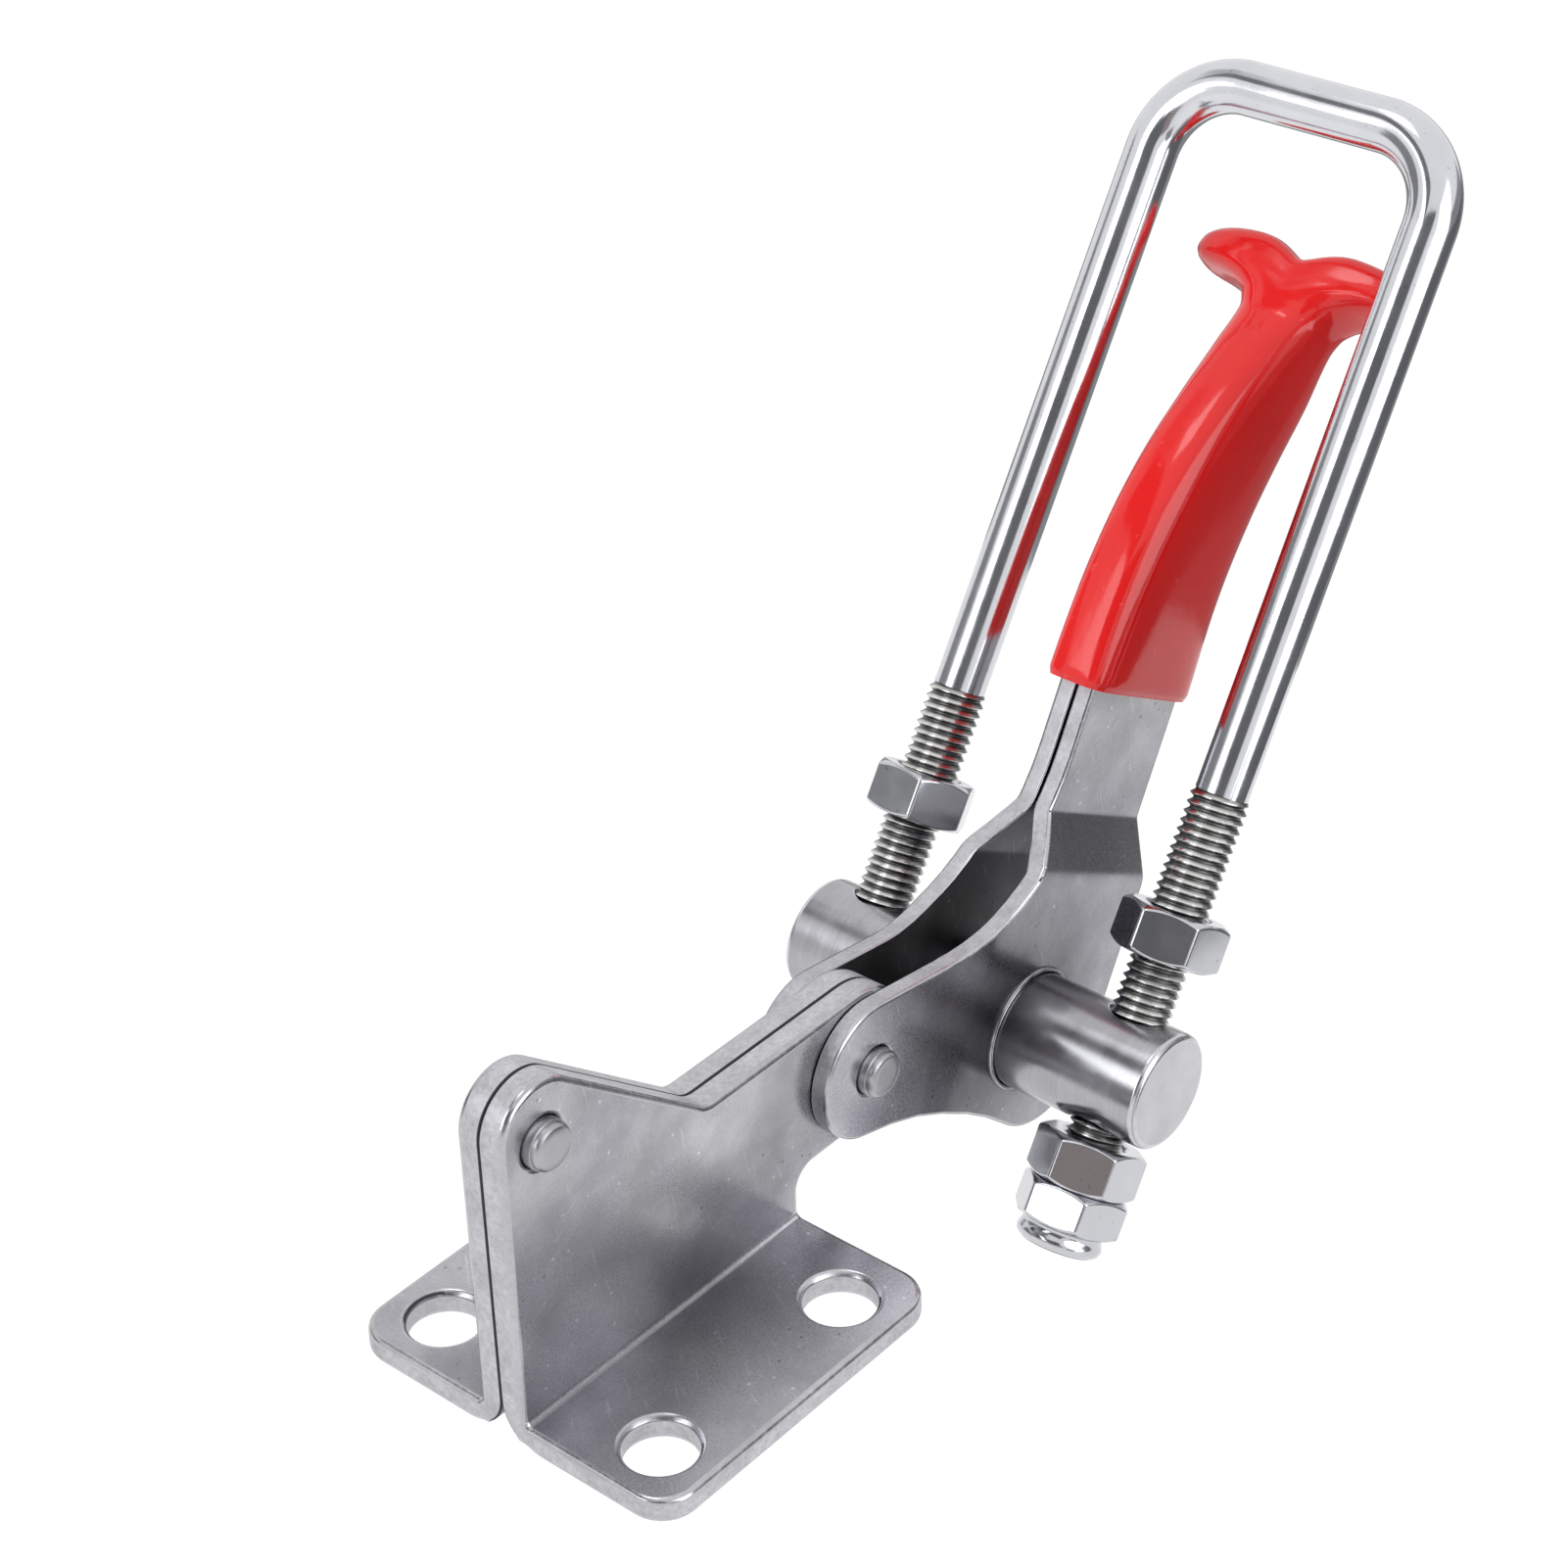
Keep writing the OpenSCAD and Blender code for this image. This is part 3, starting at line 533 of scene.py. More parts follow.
def dress_sheet(node, name, skin, edge, inner, is_sheared, outer_width):
    side = -1 if node.endswith("right") else 1
    mesh = stitched_copy(node)
    for face in mesh.faces:
        face.material_index = inner_face if face.normal.y * side < -0.5 else skin_face
        if is_sheared(face.calc_center_median(), face.normal):
            face.material_index = sheared_face
    for index, width, steps, sharper_than, blunter_than, only in (
            (corner_face, outer_width, 3, 60, 181, beside(skin_face)),
            (corner_face, bend_width, 2, 32, 60, None),
            (inner_corner, inner_width, 2, 60, 181, beside(inner_face))):
        for face in round_over(mesh, width, steps, sharper_than, blunter_than, only):
            face.material_index = index
    bmesh.ops.recalc_face_normals(mesh, faces=mesh.faces)
    piece = finished_object(mesh, name, [skin, edge, sheet_corner, inner, inner_skin])
    even_shading(piece)
    hand_over(piece, [node])


# The brackets' inner corners take the painted seam shade.
for side in ("right", "left"):
    dress_sheet("base_bracket_" + side, "bracket_stamping_" + side, bracket_skin, bracket_edge, seam_grime,
                bracket_is_sheared, 0.8 * mm)
    dress_sheet("handle_plate_" + side, "handle_stamping_" + side, plate_skin, plate_edge, sheet_corner,
                plate_is_sheared, 0.45 * mm)

# %% [markdown]
# ## The trunnion
#
# The trunnion is a turned bar with a chamfer at each end and two cross holes for the
# legs. Where a hole breaks out of the round bar its mouth is saddle-shaped, with a
# bright lip. Rounding a copy of the solid follows that saddle, which a plain lathed
# bar couldn't. The two ends are given a paler colour.

# %% Trunnion
mesh = stitched_copy("trunnion")
end_from = 20 * mm
for face in mesh.faces:
    if abs(face.normal.y) > mostly_along and abs(face.calc_center_median().y) > end_from:
        face.material_index = 2
for face in round_over(mesh, 0.3 * mm, 2, 25):
    face.material_index = 1
bmesh.ops.recalc_face_normals(mesh, faces=mesh.faces)
trunnion = finished_object(mesh, "turned_trunnion", [trunnion_steel, trunnion_lip, faced_steel])
even_shading(trunnion)
hand_over(trunnion, ["trunnion"])

# %% [markdown]
# ## Trees that grow mesh
#
# What repeats or follows a rule is grown by Geometry Nodes. A tree is built here in
# the script with named inputs for its sizes, and set on an object as a modifier. The
# evaluated result is copied to a plain mesh, and the modifier is taken off again, so
# the finished piece is ordinary mesh that any program can read. Each tree ends by
# turning its copies into mesh and giving them their finish, which `coat` does.


# %% Building and running a tree
def new_tree(name, **inputs):
    tree = bpy.data.node_groups.new(name, "GeometryNodeTree")
    tree.interface.new_socket("Geometry", in_out="INPUT", socket_type="NodeSocketGeometry")
    for label, (kind, value) in inputs.items():
        socket = tree.interface.new_socket(label, in_out="INPUT", socket_type="NodeSocket" + kind)
        if value is not None:
            socket.default_value = value
    tree.interface.new_socket("Geometry", in_out="OUTPUT", socket_type="NodeSocketGeometry")
    start = tree.nodes.new("NodeGroupInput")
    end = tree.nodes.new("NodeGroupOutput")
    return tree, start.outputs, end


def coat(geometry, finish, end):
    tree = end.id_data
    solid = lay(tree, "GeometryNodeRealizeInstances", {"Geometry": geometry}).outputs[0]
    coated = lay(tree, "GeometryNodeSetMaterial", {"Geometry": solid, "Material": finish}).outputs[0]
    fill(end, {"Geometry": coated})
    print(tree.name, "tree has", len(tree.nodes), "nodes")


def grow(name, base, tree, **sizes):
    piece = add_object(name, base)
    modifier = piece.modifiers.new(tree.name, "NODES")
    modifier.node_group = tree
    for item in tree.interface.items_tree:
        if item.item_type == "SOCKET" and item.in_out == "INPUT" and item.name in sizes:
            modifier[item.identifier] = sizes[item.name]
    bpy.context.view_layer.update()
    apply_modifier(piece, modifier)
    return piece


def outline_mesh(name, points):
    data = bpy.data.meshes.new(name)
    data.from_pydata([Vector(p) * mm for p in points], [(i, i + 1) for i in range(len(points) - 1)], [])
    return data


# %% [markdown]
# ## Winding a grid round an axis
#
# Both the turned pieces and the threads start as a flat grid that is wound round the Z
# axis. A grid's points are numbered column by column, so a division gives the column
# and what is left over gives the row. Each row reads its numbers from one point of an
# outline, which is the modifier's own mesh.


# %% Winding
def wound_grid(around, rows):
    tree = around.id_data
    grid = lay(tree, "GeometryNodeMeshGrid", {"Vertices X": plus(around, 1), "Vertices Y": rows})
    index = lay(tree, "GeometryNodeInputIndex").outputs[0]
    column = reckon("FLOOR", over(index, rows))
    return grid.outputs["Mesh"], column, minus(index, times(column, rows))


def count_points(outline):
    size = lay(outline.id_data, "GeometryNodeAttributeDomainSize", {"Geometry": outline})
    return size.outputs["Point Count"]


def read_point(outline, index):
    tree = outline.id_data
    place = lay(tree, "GeometryNodeInputPosition").outputs[0]
    read = lay(tree, "GeometryNodeSampleIndex", {"Geometry": outline, "Value": place, "Index": index},
               data_type="FLOAT_VECTOR").outputs[0]
    return lay(tree, "ShaderNodeSeparateXYZ", {0: read}).outputs


def set_round(grid, radius, turn, height):
    tree = grid.id_data
    place = lay(tree, "ShaderNodeCombineXYZ", {
        0: times(radius, reckon("COSINE", turn)),
        1: times(radius, reckon("SINE", turn)), 2: height}).outputs[0]
    return lay(tree, "GeometryNodeSetPosition", {"Geometry": grid, "Position": place}).outputs[0]


def weld(geometry, reach):
    return lay(geometry.id_data, "GeometryNodeMergeByDistance", {
        "Geometry": geometry, "Distance": reach}).outputs[0]


# %% [markdown]
# ## A lathe with a hexagon setting
#
# Rivets, nuts and nylon rings are all turned outlines: each row of the grid reads its
# radius and height from one point of the outline. An outline point can also be flagged
# to follow the hexagon of a nut instead. It then slides out along the 30 degree chamfer
# until it meets the flat, which draws the curved corner arcs of a real nut exactly. The
# nut's corners are cut off a little short of the full hexagon's.

# %% Lathe tree
across_flats = 13
corner_reach, chamfer_slope = 1.139, math.tan(math.radians(30))
sixth = math.pi / 3
lathe, given, end = new_tree("turned_piece", Around=("Int", 96), Across_flats=("Float", across_flats * mm),
                             Finish=("Material", None))
grid, column, row = wound_grid(given["Around"], count_points(given["Geometry"]))
part = read_point(given["Geometry"], row)
turn = times(over(column, given["Around"]), 2 * math.pi)
from_flat = minus(reckon("FLOORED_MODULO", plus(turn, sixth / 2), sixth), sixth / 2)
half_flats = times(given["Across_flats"], 0.5)
hexagon = reckon("MINIMUM", over(half_flats, reckon("COSINE", from_flat)), times(half_flats, corner_reach))
flag = times(part[1], 1000.0)
flagged = reckon("GREATER_THAN", reckon("ABSOLUTE", flag), 0.5)
past = times(minus(hexagon, part[0]), flagged)
radius = plus(part[0], past)
height = plus(part[2], times(past, flag, chamfer_slope))
coat(weld(set_round(grid, radius, turn, height), 0.002 * mm), given["Finish"], end)

# %% [markdown]
# ## Rivets
#
# Two shouldered rivets hold the clamp together: one through the heel of the brackets,
# one as the handle's pivot. Their ends stand two millimetres proud, with a fine step
# half way and a chamfer at the tip. One outline serves for both, stretched to the
# thickness of sheet between the ends.


# %% Rivets
def rivet_outline(half):
    tip = [(0, 1.94), (1.6, 1.97), (2.45, 1.95), (2.66, 1.88), (2.88, 1.66), (2.97, 1.5), (3.0, 1.4),
           (3.0, 1.06), (3.02, 0.98), (3.13, 0.96), (3.19, 0.9), (3.2, 0.8), (3.2, 0.08), (3.2, 0)]
    top = [(r, 0, half + h) for r, h in tip]
    return top + [(r, 0, -h) for r, _, h in reversed(top)]


def align(piece, turned, moved_to):
    """Lays a piece that was made round the Z axis along its real axis, in its mesh."""
    piece.data.transform(Matrix.Translation(Vector(moved_to) * mm) @ turned.to_4x4())
    piece.data.update()


def face_outwards(piece, rounding=0, sharper_than=0):
    mesh = bmesh.new()
    mesh.from_mesh(piece.data)
    bmesh.ops.dissolve_degenerate(mesh, edges=mesh.edges, dist=0.001 * mm)
    bmesh.ops.recalc_face_normals(mesh, faces=mesh.faces)
    if rounding:
        bmesh.ops.dissolve_limit(mesh, angle_limit=math.radians(0.8), verts=mesh.verts, edges=mesh.edges)
        round_over(mesh, rounding, 2, sharper_than)
        bmesh.ops.recalc_face_normals(mesh, faces=mesh.faces)
    store_smooth(mesh, piece.data)


across_clamp = Matrix.Rotation(math.radians(90), 3, "X")
for name, node, x, z, half in (("heel_rivet_turned", "heel_rivet", -17.75, 41.8, 3.5),
                               ("pivot_rivet_turned", "pivot_rivet", 37.25, 20, 6.1)):
    outline = outline_mesh(name + "_outline", rivet_outline(half))
    rivet = grow(name, outline, lathe, Around=72, Finish=rivet_steel)
    face_outwards(rivet)
    align(rivet, across_clamp, (x, 0, z))
    even_shading(rivet, 24)
    hand_over(rivet, [node])

# %% [markdown]
# ## The legs' own frame
#
# The U-bolt leans at 57 degrees over the trunnion. Everything on it is easier to make
# upright, round a Z axis that starts at the trunnion's centre, and to lean over at the
# end. `lean_over` does that to a finished mesh.

# %% Leg frame
hook_angle = 57
hook_lean = Matrix.Rotation(math.radians(90 - hook_angle), 3, "Y")
trunnion_centre = (68.6285, 0, 8.2681)
leg_y, leg_end, thread_top = 21.2, -24.0, 38.5
hook_top, hook_bend, rod_r = 124.6, 11.0, 3.55
print("legs stand", 2 * leg_y, "mm apart and run from", leg_end, "to", hook_top, "mm")


def lean_over(piece):
    align(piece, hook_lean, trunnion_centre)


# %% [markdown]
# ## The U-bolt's shank
#
# The shank is one bar of constant thickness that follows a path: up one leg, round a
# bend, along the hook bar and down again. A tree rounds the corners of a four-point
# line and sweeps a circle along it. Only the path, the bend and the bar's radius are
# given. The path starts half a millimetre inside the thread, so that no gap shows.

# %% Shank tree
shank, given, end = new_tree("bent_bar", Bend=("Float", hook_bend * mm), Radius=("Float", rod_r * mm),
                             Finish=("Material", None))
line = lay(shank, "GeometryNodeMeshToCurve", {"Mesh": given["Geometry"]}).outputs[0]
eased = lay(shank, "GeometryNodeFilletCurve", {
    "Curve": line, "Radius": given["Bend"], "Count": 28}, mode="POLY").outputs[0]
ring = lay(shank, "GeometryNodeCurvePrimitiveCircle", {
    "Resolution": 64, "Radius": given["Radius"]}).outputs["Curve"]
swept = lay(shank, "GeometryNodeCurveToMesh", {
    "Curve": eased, "Profile Curve": ring, "Fill Caps": True}).outputs[0]
coat(swept, given["Finish"], end)

# %% Shank
foot = thread_top - 0.5
path = [(0, -leg_y, foot), (0, -leg_y, hook_top), (0, leg_y, hook_top), (0, leg_y, foot)]
hook_shank = grow("hook_shank", outline_mesh("hook_path", path), shank, Bend=hook_bend * mm,
                  Radius=rod_r * mm, Finish=rod_steel)
face_outwards(hook_shank)
lean_over(hook_shank)
even_shading(hook_shank, 60)
hand_over(hook_shank, ["u_bolt"])

# %% [markdown]
# ## Rolled threads
#
# Both legs carry a coarse 8 mm thread with 1.25 mm between turns. A bump map can't give
# its silhouette, so it is real mesh. The tree lays a grid whose columns go round the
# leg and whose rows climb it. Each column starts a little higher than the last, so
# the rows wind into a helix, and after one turn they meet the next pitch. The tooth's
# outline is the modifier's own mesh. The thread fades into the shank at its top, and
# at the foot it is cut flat with a chamfer. A few spare turns past both ends are
# squeezed flat there and close the leg. How near each point stands to a crest is
# stored for the finish.

# %% Thread tree
pitch, root_r, crest_r = 1.25, 3.33, 3.95
spare_below, spare_turns = 4.0, 7.0
closing_slope, fade_run = 1.6, 1.3
thread, given, end = new_tree(
    "leg_thread", Pitch=("Float", pitch * mm), Foot=("Float", leg_end * mm),
    Top=("Float", thread_top * mm), Shank_radius=("Float", 3.5 * mm), Foot_radius=("Float", 3.1 * mm),
    Apart=("Float", 2 * leg_y * mm), Around=("Int", 48), Finish=("Material", None))
per_turn = count_points(given["Geometry"])
climb = over(minus(given["Top"], given["Foot"]), given["Pitch"])
rows = times(reckon("FLOOR", plus(climb, spare_turns)), per_turn)
grid, column, row = wound_grid(given["Around"], rows)
lap = reckon("FLOOR", over(row, per_turn))
part = read_point(given["Geometry"], minus(row, times(lap, per_turn)))
share = over(column, given["Around"])
turns = plus(minus(lap, spare_below), share)
raw = plus(times(turns, given["Pitch"]), part[2], given["Foot"])
level = reckon("MINIMUM", reckon("MAXIMUM", raw, given["Foot"]), given["Top"])
fade = fitted(raw, minus(given["Top"], fade_run * mm), given["Top"], 0.0, 1.0)
faded = plus(times(part[0], minus(1.0, fade)), times(given["Shank_radius"], fade))
chamfer = plus(given["Foot_radius"], minus(level, given["Foot"]))
below = reckon("MAXIMUM", minus(given["Foot"], raw), 0.0)
above = reckon("MAXIMUM", minus(raw, given["Top"]), 0.0)
shrink = times(plus(below, above), closing_slope)
radius = reckon("MAXIMUM", minus(reckon("MINIMUM", faded, chamfer), shrink), 0.0)
moved = set_round(grid, radius, times(share, 2 * math.pi), level)
crest = fitted(radius, root_r * mm, crest_r * mm, 0.0, 1.0)
marked = lay(thread, "GeometryNodeStoreNamedAttribute", {"Geometry": moved, "Name": "crest", "Value": crest},
             data_type="FLOAT", domain="POINT").outputs[0]
first = lay(thread, "ShaderNodeCombineXYZ", {1: times(given["Apart"], -0.5)}).outputs[0]
step = lay(thread, "ShaderNodeCombineXYZ", {1: given["Apart"]}).outputs[0]
legs = lay(thread, "GeometryNodeMeshLine", {"Count": 2, "Start Location": first, "Offset": step}).outputs[0]
both = lay(thread, "GeometryNodeInstanceOnPoints", {
    "Points": legs, "Instance": weld(marked, 0.004 * mm)}).outputs[0]
coat(both, given["Finish"], end)

# %% Threads
tooth = [(r, 0, z) for r, z in (
    (3.36, 0.02), (root_r, 0.14), (3.36, 0.27), (3.93, 0.6), (3.97, 0.69), (3.93, 0.78))]
leg_threads = grow("leg_threads", outline_mesh("tooth", tooth), thread, Pitch=pitch * mm, Foot=leg_end * mm,
                   Top=thread_top * mm, Apart=2 * leg_y * mm, Around=48, Finish=thread_steel)
face_outwards(leg_threads)
lean_over(leg_threads)
even_shading(leg_threads, 38)
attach(leg_threads, body_with["u_bolt"])
print("threads:", len(leg_threads.data.polygons), "faces")

# %% [markdown]
# ## Nuts
#
# Six nuts sit on the legs: one above the trunnion on each leg, one below it, and a
# lock nut under that. Each was left turned by its own amount when it was tightened. One
# nut is turned on the lathe tree, and a second tree sets copies of it on points that
# stand for the places along the legs. A place is a height along the leg in millimetres
# and a turn in degrees.

# %% Tree that sets nuts on a leg
setting, given, end = new_tree("set_on_leg", Nut=("Object", None), Finish=("Material", None))
turned = lay(setting, "GeometryNodeInputNamedAttribute", {"Name": "turn"}, data_type="FLOAT").outputs[0]
own_turn = lay(setting, "ShaderNodeCombineXYZ", {2: turned}).outputs[0]
nut = lay(setting, "GeometryNodeObjectInfo", {"Object": given["Nut"]}).outputs["Geometry"]
points = lay(setting, "GeometryNodeMeshToPoints", {"Mesh": given["Geometry"]}).outputs[0]
copies = lay(setting, "GeometryNodeInstanceOnPoints", {
    "Points": points, "Instance": nut, "Rotation": own_turn}).outputs[0]
coat(copies, given["Finish"], end)


def set_on_legs(name, one, right, left, finish):
    points = outline_mesh(name + "_places", [(0, -leg_y, right[0]), (0, leg_y, left[0])])
    turn = points.attributes.new("turn", "FLOAT", "POINT")
    turn.data.foreach_set("value", [math.radians(right[1]), math.radians(left[1])])
    pair = grow(name, points, setting, Nut=one, Finish=finish)
    lean_over(pair)
    return pair


# %% [markdown]
# ## One plain nut and one lock nut
#
# A nut's outline goes up the outside and down the bore, with a chamfered mouth at each
# end. The lock nut stands on a turned collar that holds the nylon ring. The collar was
# rolled in over the ring, so it has a narrow waist and a full bead at its end. All
# edges are rounded by about a quarter of a millimetre, as polishing leaves them.

# %% Plain nut and lock nut
bore_r, mouth_r, lead_in = 4.05, 4.6, 0.5
flat_r = across_flats / 2 * 0.96
hex_h, lock_h, collar_h = 6.5, 5.4, 3.0
lock_top = collar_h + lock_h
plain_outline = [(bore_r, 0, lead_in), (mouth_r, 0, 0), (flat_r, 0, 0), (flat_r, 1, 0), (flat_r, -1, hex_h),
                 (flat_r, 0, hex_h), (mouth_r, 0, hex_h), (bore_r, 0, hex_h - lead_in), (bore_r, 0, lead_in)]
collar = [(4.65, 0.5), (4.65, 0.05), (4.75, 0.0), (5.0, 0.05), (5.3, 0.2), (5.56, 0.45), (5.72, 0.75),
          (5.79, 1.05), (5.76, 1.35), (5.66, 1.65), (5.54, 1.92), (5.46, 2.2), (5.44, 2.45), (5.5, 2.7),
          (5.66, 2.88), (5.9, collar_h)]
lock_outline = [(r, 0, z) for r, z in collar] + [
    (flat_r, 0, collar_h), (flat_r, 1, collar_h), (flat_r, -1, lock_top), (flat_r, 0, lock_top),
    (mouth_r, 0, lock_top), (bore_r, 0, lock_top - lead_in), (bore_r, 0, 2.9), (5.0, 0, 2.85),
    (5.0, 0, 0.5), (4.65, 0, 0.5)]
plain_nut, lock_nut = [
    grow(name, outline_mesh(name + "_outline", outline), lathe, Around=180, Across_flats=across_flats * mm,
         Finish=nut_steel)
    for name, outline in (("plain_nut", plain_outline), ("lock_nut", lock_outline))]
for nut in (plain_nut, lock_nut):
    face_outwards(nut, 0.24 * mm, 26)
    even_shading(nut, 50)
    print(nut.name, "has", len(nut.data.polygons), "faces")

# %% Nuts on the legs
for which, nut, right, left in (("upper", plain_nut, (15.6, 22), (19.5, -4)),
                                ("lower", plain_nut, (-15.9, 25), (-15.9, 40)),
                                ("lock", lock_nut, (-24.3, 11), (-24.3, 55))):
    pair = set_on_legs(which + "_nuts", nut, right, left, nut_steel)
    hand_over(pair, [which + "_nut_right", which + "_nut_left"])
for nut in (plain_nut, lock_nut):
    bpy.data.objects.remove(nut)

# %% [markdown]
# ## Nylon rings
#
# In each lock nut's collar sits a nylon ring that grips the thread. From below one
# sees it as a milky band round the leg's end. It is turned on the same lathe tree.

# %% Nylon rings
ring_outline = [(4.02, 0, 0.6), (4.2, 0, 0.52), (4.85, 0, 0.52), (4.98, 0, 0.62), (4.98, 0, 2.8),
                (4.02, 0, 2.8), (4.02, 0, 0.6)]
ring = grow("nylon_ring", outline_mesh("ring_outline", ring_outline), lathe, Around=96, Finish=nylon)
face_outwards(ring)
rings = set_on_legs("nylon_rings", ring, (-24.3, 0), (-24.3, 0), nylon)
bpy.data.objects.remove(ring)
even_shading(rings, 40)
hand_over(rings, ["nylon_ring_right", "nylon_ring_left"])

# %% [markdown]
# ## The red grip
#
# The grip is a skin that starts oval where it hugs the two plates, bends back with the
# handle and spreads into a cross bar. The same rule that shapes the solid is used
# here with finer steps: stations along the handle give half width, half thickness and
# squareness of the section, and a smooth curve runs between them. Plain mesh code
# suits it, because each ring is worked out from several eased values at once.

# %% Stations of the grip
grip_len, grip_w, thick, tee, tee_w = 63.6, 25.4, 4.1, 16.7, 4.9
stations = [
    (0, grip_w / 2 - 0.3, thick + 0.6, 5, 0),
    (1, grip_w / 2 + 0.1, thick + 1.1, 4.2, 0),
    (grip_len * 0.24, grip_w * 0.475, thick + 1.3, 3.6, 0),
    (grip_len * 0.43, grip_w * 0.43, thick + 1.6, 3.2, 0.1),
    (grip_len * 0.6, grip_w * 0.375, thick + 1.7, 3, 0.4),
    (grip_len * 0.72, grip_w * 0.325, thick + 1.8, 3, 0.9),
    (grip_len - 11, tee_w + 1.6, thick + 2.1, 2.8, 1),
    (grip_len - 8.6, tee_w + 1.2, tee * 0.43, 2.8, 0.6),
    (grip_len - 7, tee_w + 1, tee * 0.55, 2.8, 0.3),
    (grip_len - 5.9, tee_w + 0.8, tee * 0.72, 2.9, 0.1),
    (grip_len - 5, tee_w + 0.6, tee * 0.89, 3, 0),
    (grip_len - 4.2, tee_w + 0.5, tee * 0.965, 3, -0.1),
    (grip_len - 3, tee_w + 0.3, tee, 3, -0.2),
    (grip_len - 1.7, tee_w, tee * 0.985, 3, -0.3),
    (grip_len - 0.9, tee_w - 0.4, tee * 0.94, 3, -0.3),
    (grip_len - 0.35, tee_w - 1, tee * 0.87, 3, -0.3),
    (grip_len, tee_w - 2, tee * 0.74, 3, -0.3)]
print("stations along the grip:", len(stations))


def slope_at(i, j):
    if i in (0, len(stations) - 1):
        return 0.0
    before, here, after = stations[i - 1], stations[i], stations[i + 1]
    a = (here[j] - before[j]) / (here[0] - before[0])
    b = (after[j] - here[j]) / (after[0] - here[0])
    return 0.0 if a * b <= 0 else 2 * a * b / (a + b)


def station(t):
    """Half width, half thickness, squareness and shift of the section at a length t along the grip."""
    i = max(k for k in range(len(stations) - 1) if stations[k][0] <= t)
    a, b = stations[i], stations[i + 1]
    w = b[0] - a[0]
    f = (t - a[0]) / w
    return [a[j] * (1 + 2 * f) * (1 - f) ** 2 + slope_at(i, j) * w * f * (1 - f) ** 2
            + b[j] * f * f * (3 - 2 * f) + slope_at(i + 1, j) * w * f * f * (f - 1) for j in range(1, 5)]


# %% [markdown]
# ## The grip's axis and rings
#
# The axis runs straight up the handle, turns back through 21 degrees in an arc and runs
# straight again. A ring is laid across it at any length. Its points are spaced closer
# together at the four round corners, where an even spacing would show facets. Towards
# the end of the cross bar the rings sink a little in the middle, which makes the soft
# valley, and droop at both tips.


# %% Axis and rings of the grip
def direction(angle):
    return np.array([math.cos(math.radians(angle)), math.sin(math.radians(angle))])


def crosswise(angle):
    return np.array([math.sin(math.radians(angle)), -math.cos(math.radians(angle))])


handle_turn, bend_turn, bend_r = 60.5, 21.0, 70.0
neck_mid, bend_at, grip_shift, low_len = 6.2, 65.5, 0.6, 20.0
up_handle, across_handle = direction(handle_turn), crosswise(handle_turn)
bend_point = (np.array([trunnion_centre[0], trunnion_centre[2]]) + bend_at * up_handle
              + (neck_mid - grip_shift) * across_handle)
valley_depth, valley_floor, valley_half = 3.0, 0.9, 7.5
rise_from, droop_from, crowding = 0.6, 7, 1.5


def grip_axis(t):
    half = bend_r * math.tan(math.radians(bend_turn / 2))
    start_bend, arc = low_len - half, bend_r * math.radians(bend_turn)
    if t <= start_bend:
        return bend_point + (t - low_len) * up_handle, handle_turn
    if t <= start_bend + arc:
        angle = handle_turn - math.degrees((t - start_bend) / bend_r)
        centre = bend_point - half * up_handle + bend_r * across_handle
        return centre - bend_r * crosswise(angle), angle
    turned = handle_turn - bend_turn
    return bend_point + (half + t - start_bend - arc) * direction(turned), turned


def grip_ring(t, count, swell=1.0):
    half_w, half_t, squareness, shift = station(min(t, grip_len))
    at, angle = grip_axis(t)
    up, across = direction(angle), crosswise(angle)
    rise = (max(0.0, t / grip_len - rise_from) / (1 - rise_from)) ** 2
    ring = []
    for k in range(count):
        quarter, u = divmod((k + 0.5) * 4 / count, 1)
        a = (quarter + u ** crowding / (u ** crowding + (1 - u) ** crowding)) * math.pi / 2
        c, v = math.cos(a), math.sin(a)
        p = shift + swell * half_w * math.copysign(abs(c) ** (2 / squareness), c)
        y = swell * half_t * math.copysign(abs(v) ** (2 / squareness), v)
        valley = max(0.0, 1 - math.hypot(y, valley_floor) / valley_half) ** 2
        droop = (max(0.0, abs(y) - droop_from) / (tee - droop_from)) ** 2
        q = at + p * across - (valley_depth * rise * valley + droop) * up
        ring.append((q[0], y, q[1]))
    return ring


# %% [markdown]
# ## Closing the grip
#
# The rings are joined by quads. The lower end is closed with one flat face. The upper
# end can't be, because a face with a hundred corners over the valley would crease it.
# Strips run from its front rim to its back rim instead, cut in ten, and follow the
# valley.

# %% Grip mesh
around, strips = 112, 10
steps = [0.0, 0.18, 0.5, 1.0, *np.linspace(2, grip_len - 12, 44),
         *np.linspace(grip_len - 11.2, grip_len - 3, 26), *np.linspace(grip_len - 2.6, grip_len, 14)]
rings = [grip_ring(0.0, around, swell) for swell in (0.5, 0.75, 0.93, 0.975)]
rings += [grip_ring(t, around) for t in steps]
rings += [grip_ring(grip_len, around, swell) for swell in (0.95, 0.88)]
mesh = bmesh.new()
loops = [[mesh.verts.new(Vector(p) * mm) for p in ring] for ring in rings]
for low, high in zip(loops, loops[1:]):
    for k in range(around):
        mesh.faces.new((low[k], low[(k + 1) % around], high[(k + 1) % around], high[k]))
mesh.faces.new(loops[0])
half, rim = around // 2, loops[-1]
pairs = [(around - 1 - k, half + k) for k in range(half // 2 - 2, -1, -1)]
pairs += [(k, half - 1 - k) for k in range(half // 2 - 1)]
rungs = []
for front, back in pairs:
    between = [mesh.verts.new(rim[front].co.lerp(rim[back].co, n / strips)) for n in range(1, strips)]
    rungs.append([rim[front], *between, rim[back]])
for low, high in zip(rungs, rungs[1:]):
    for n in range(strips):
        mesh.faces.new((low[n], low[n + 1], high[n + 1], high[n]))
mesh.faces.new([*rungs[-1], rim[half // 2], rim[half // 2 - 1]])
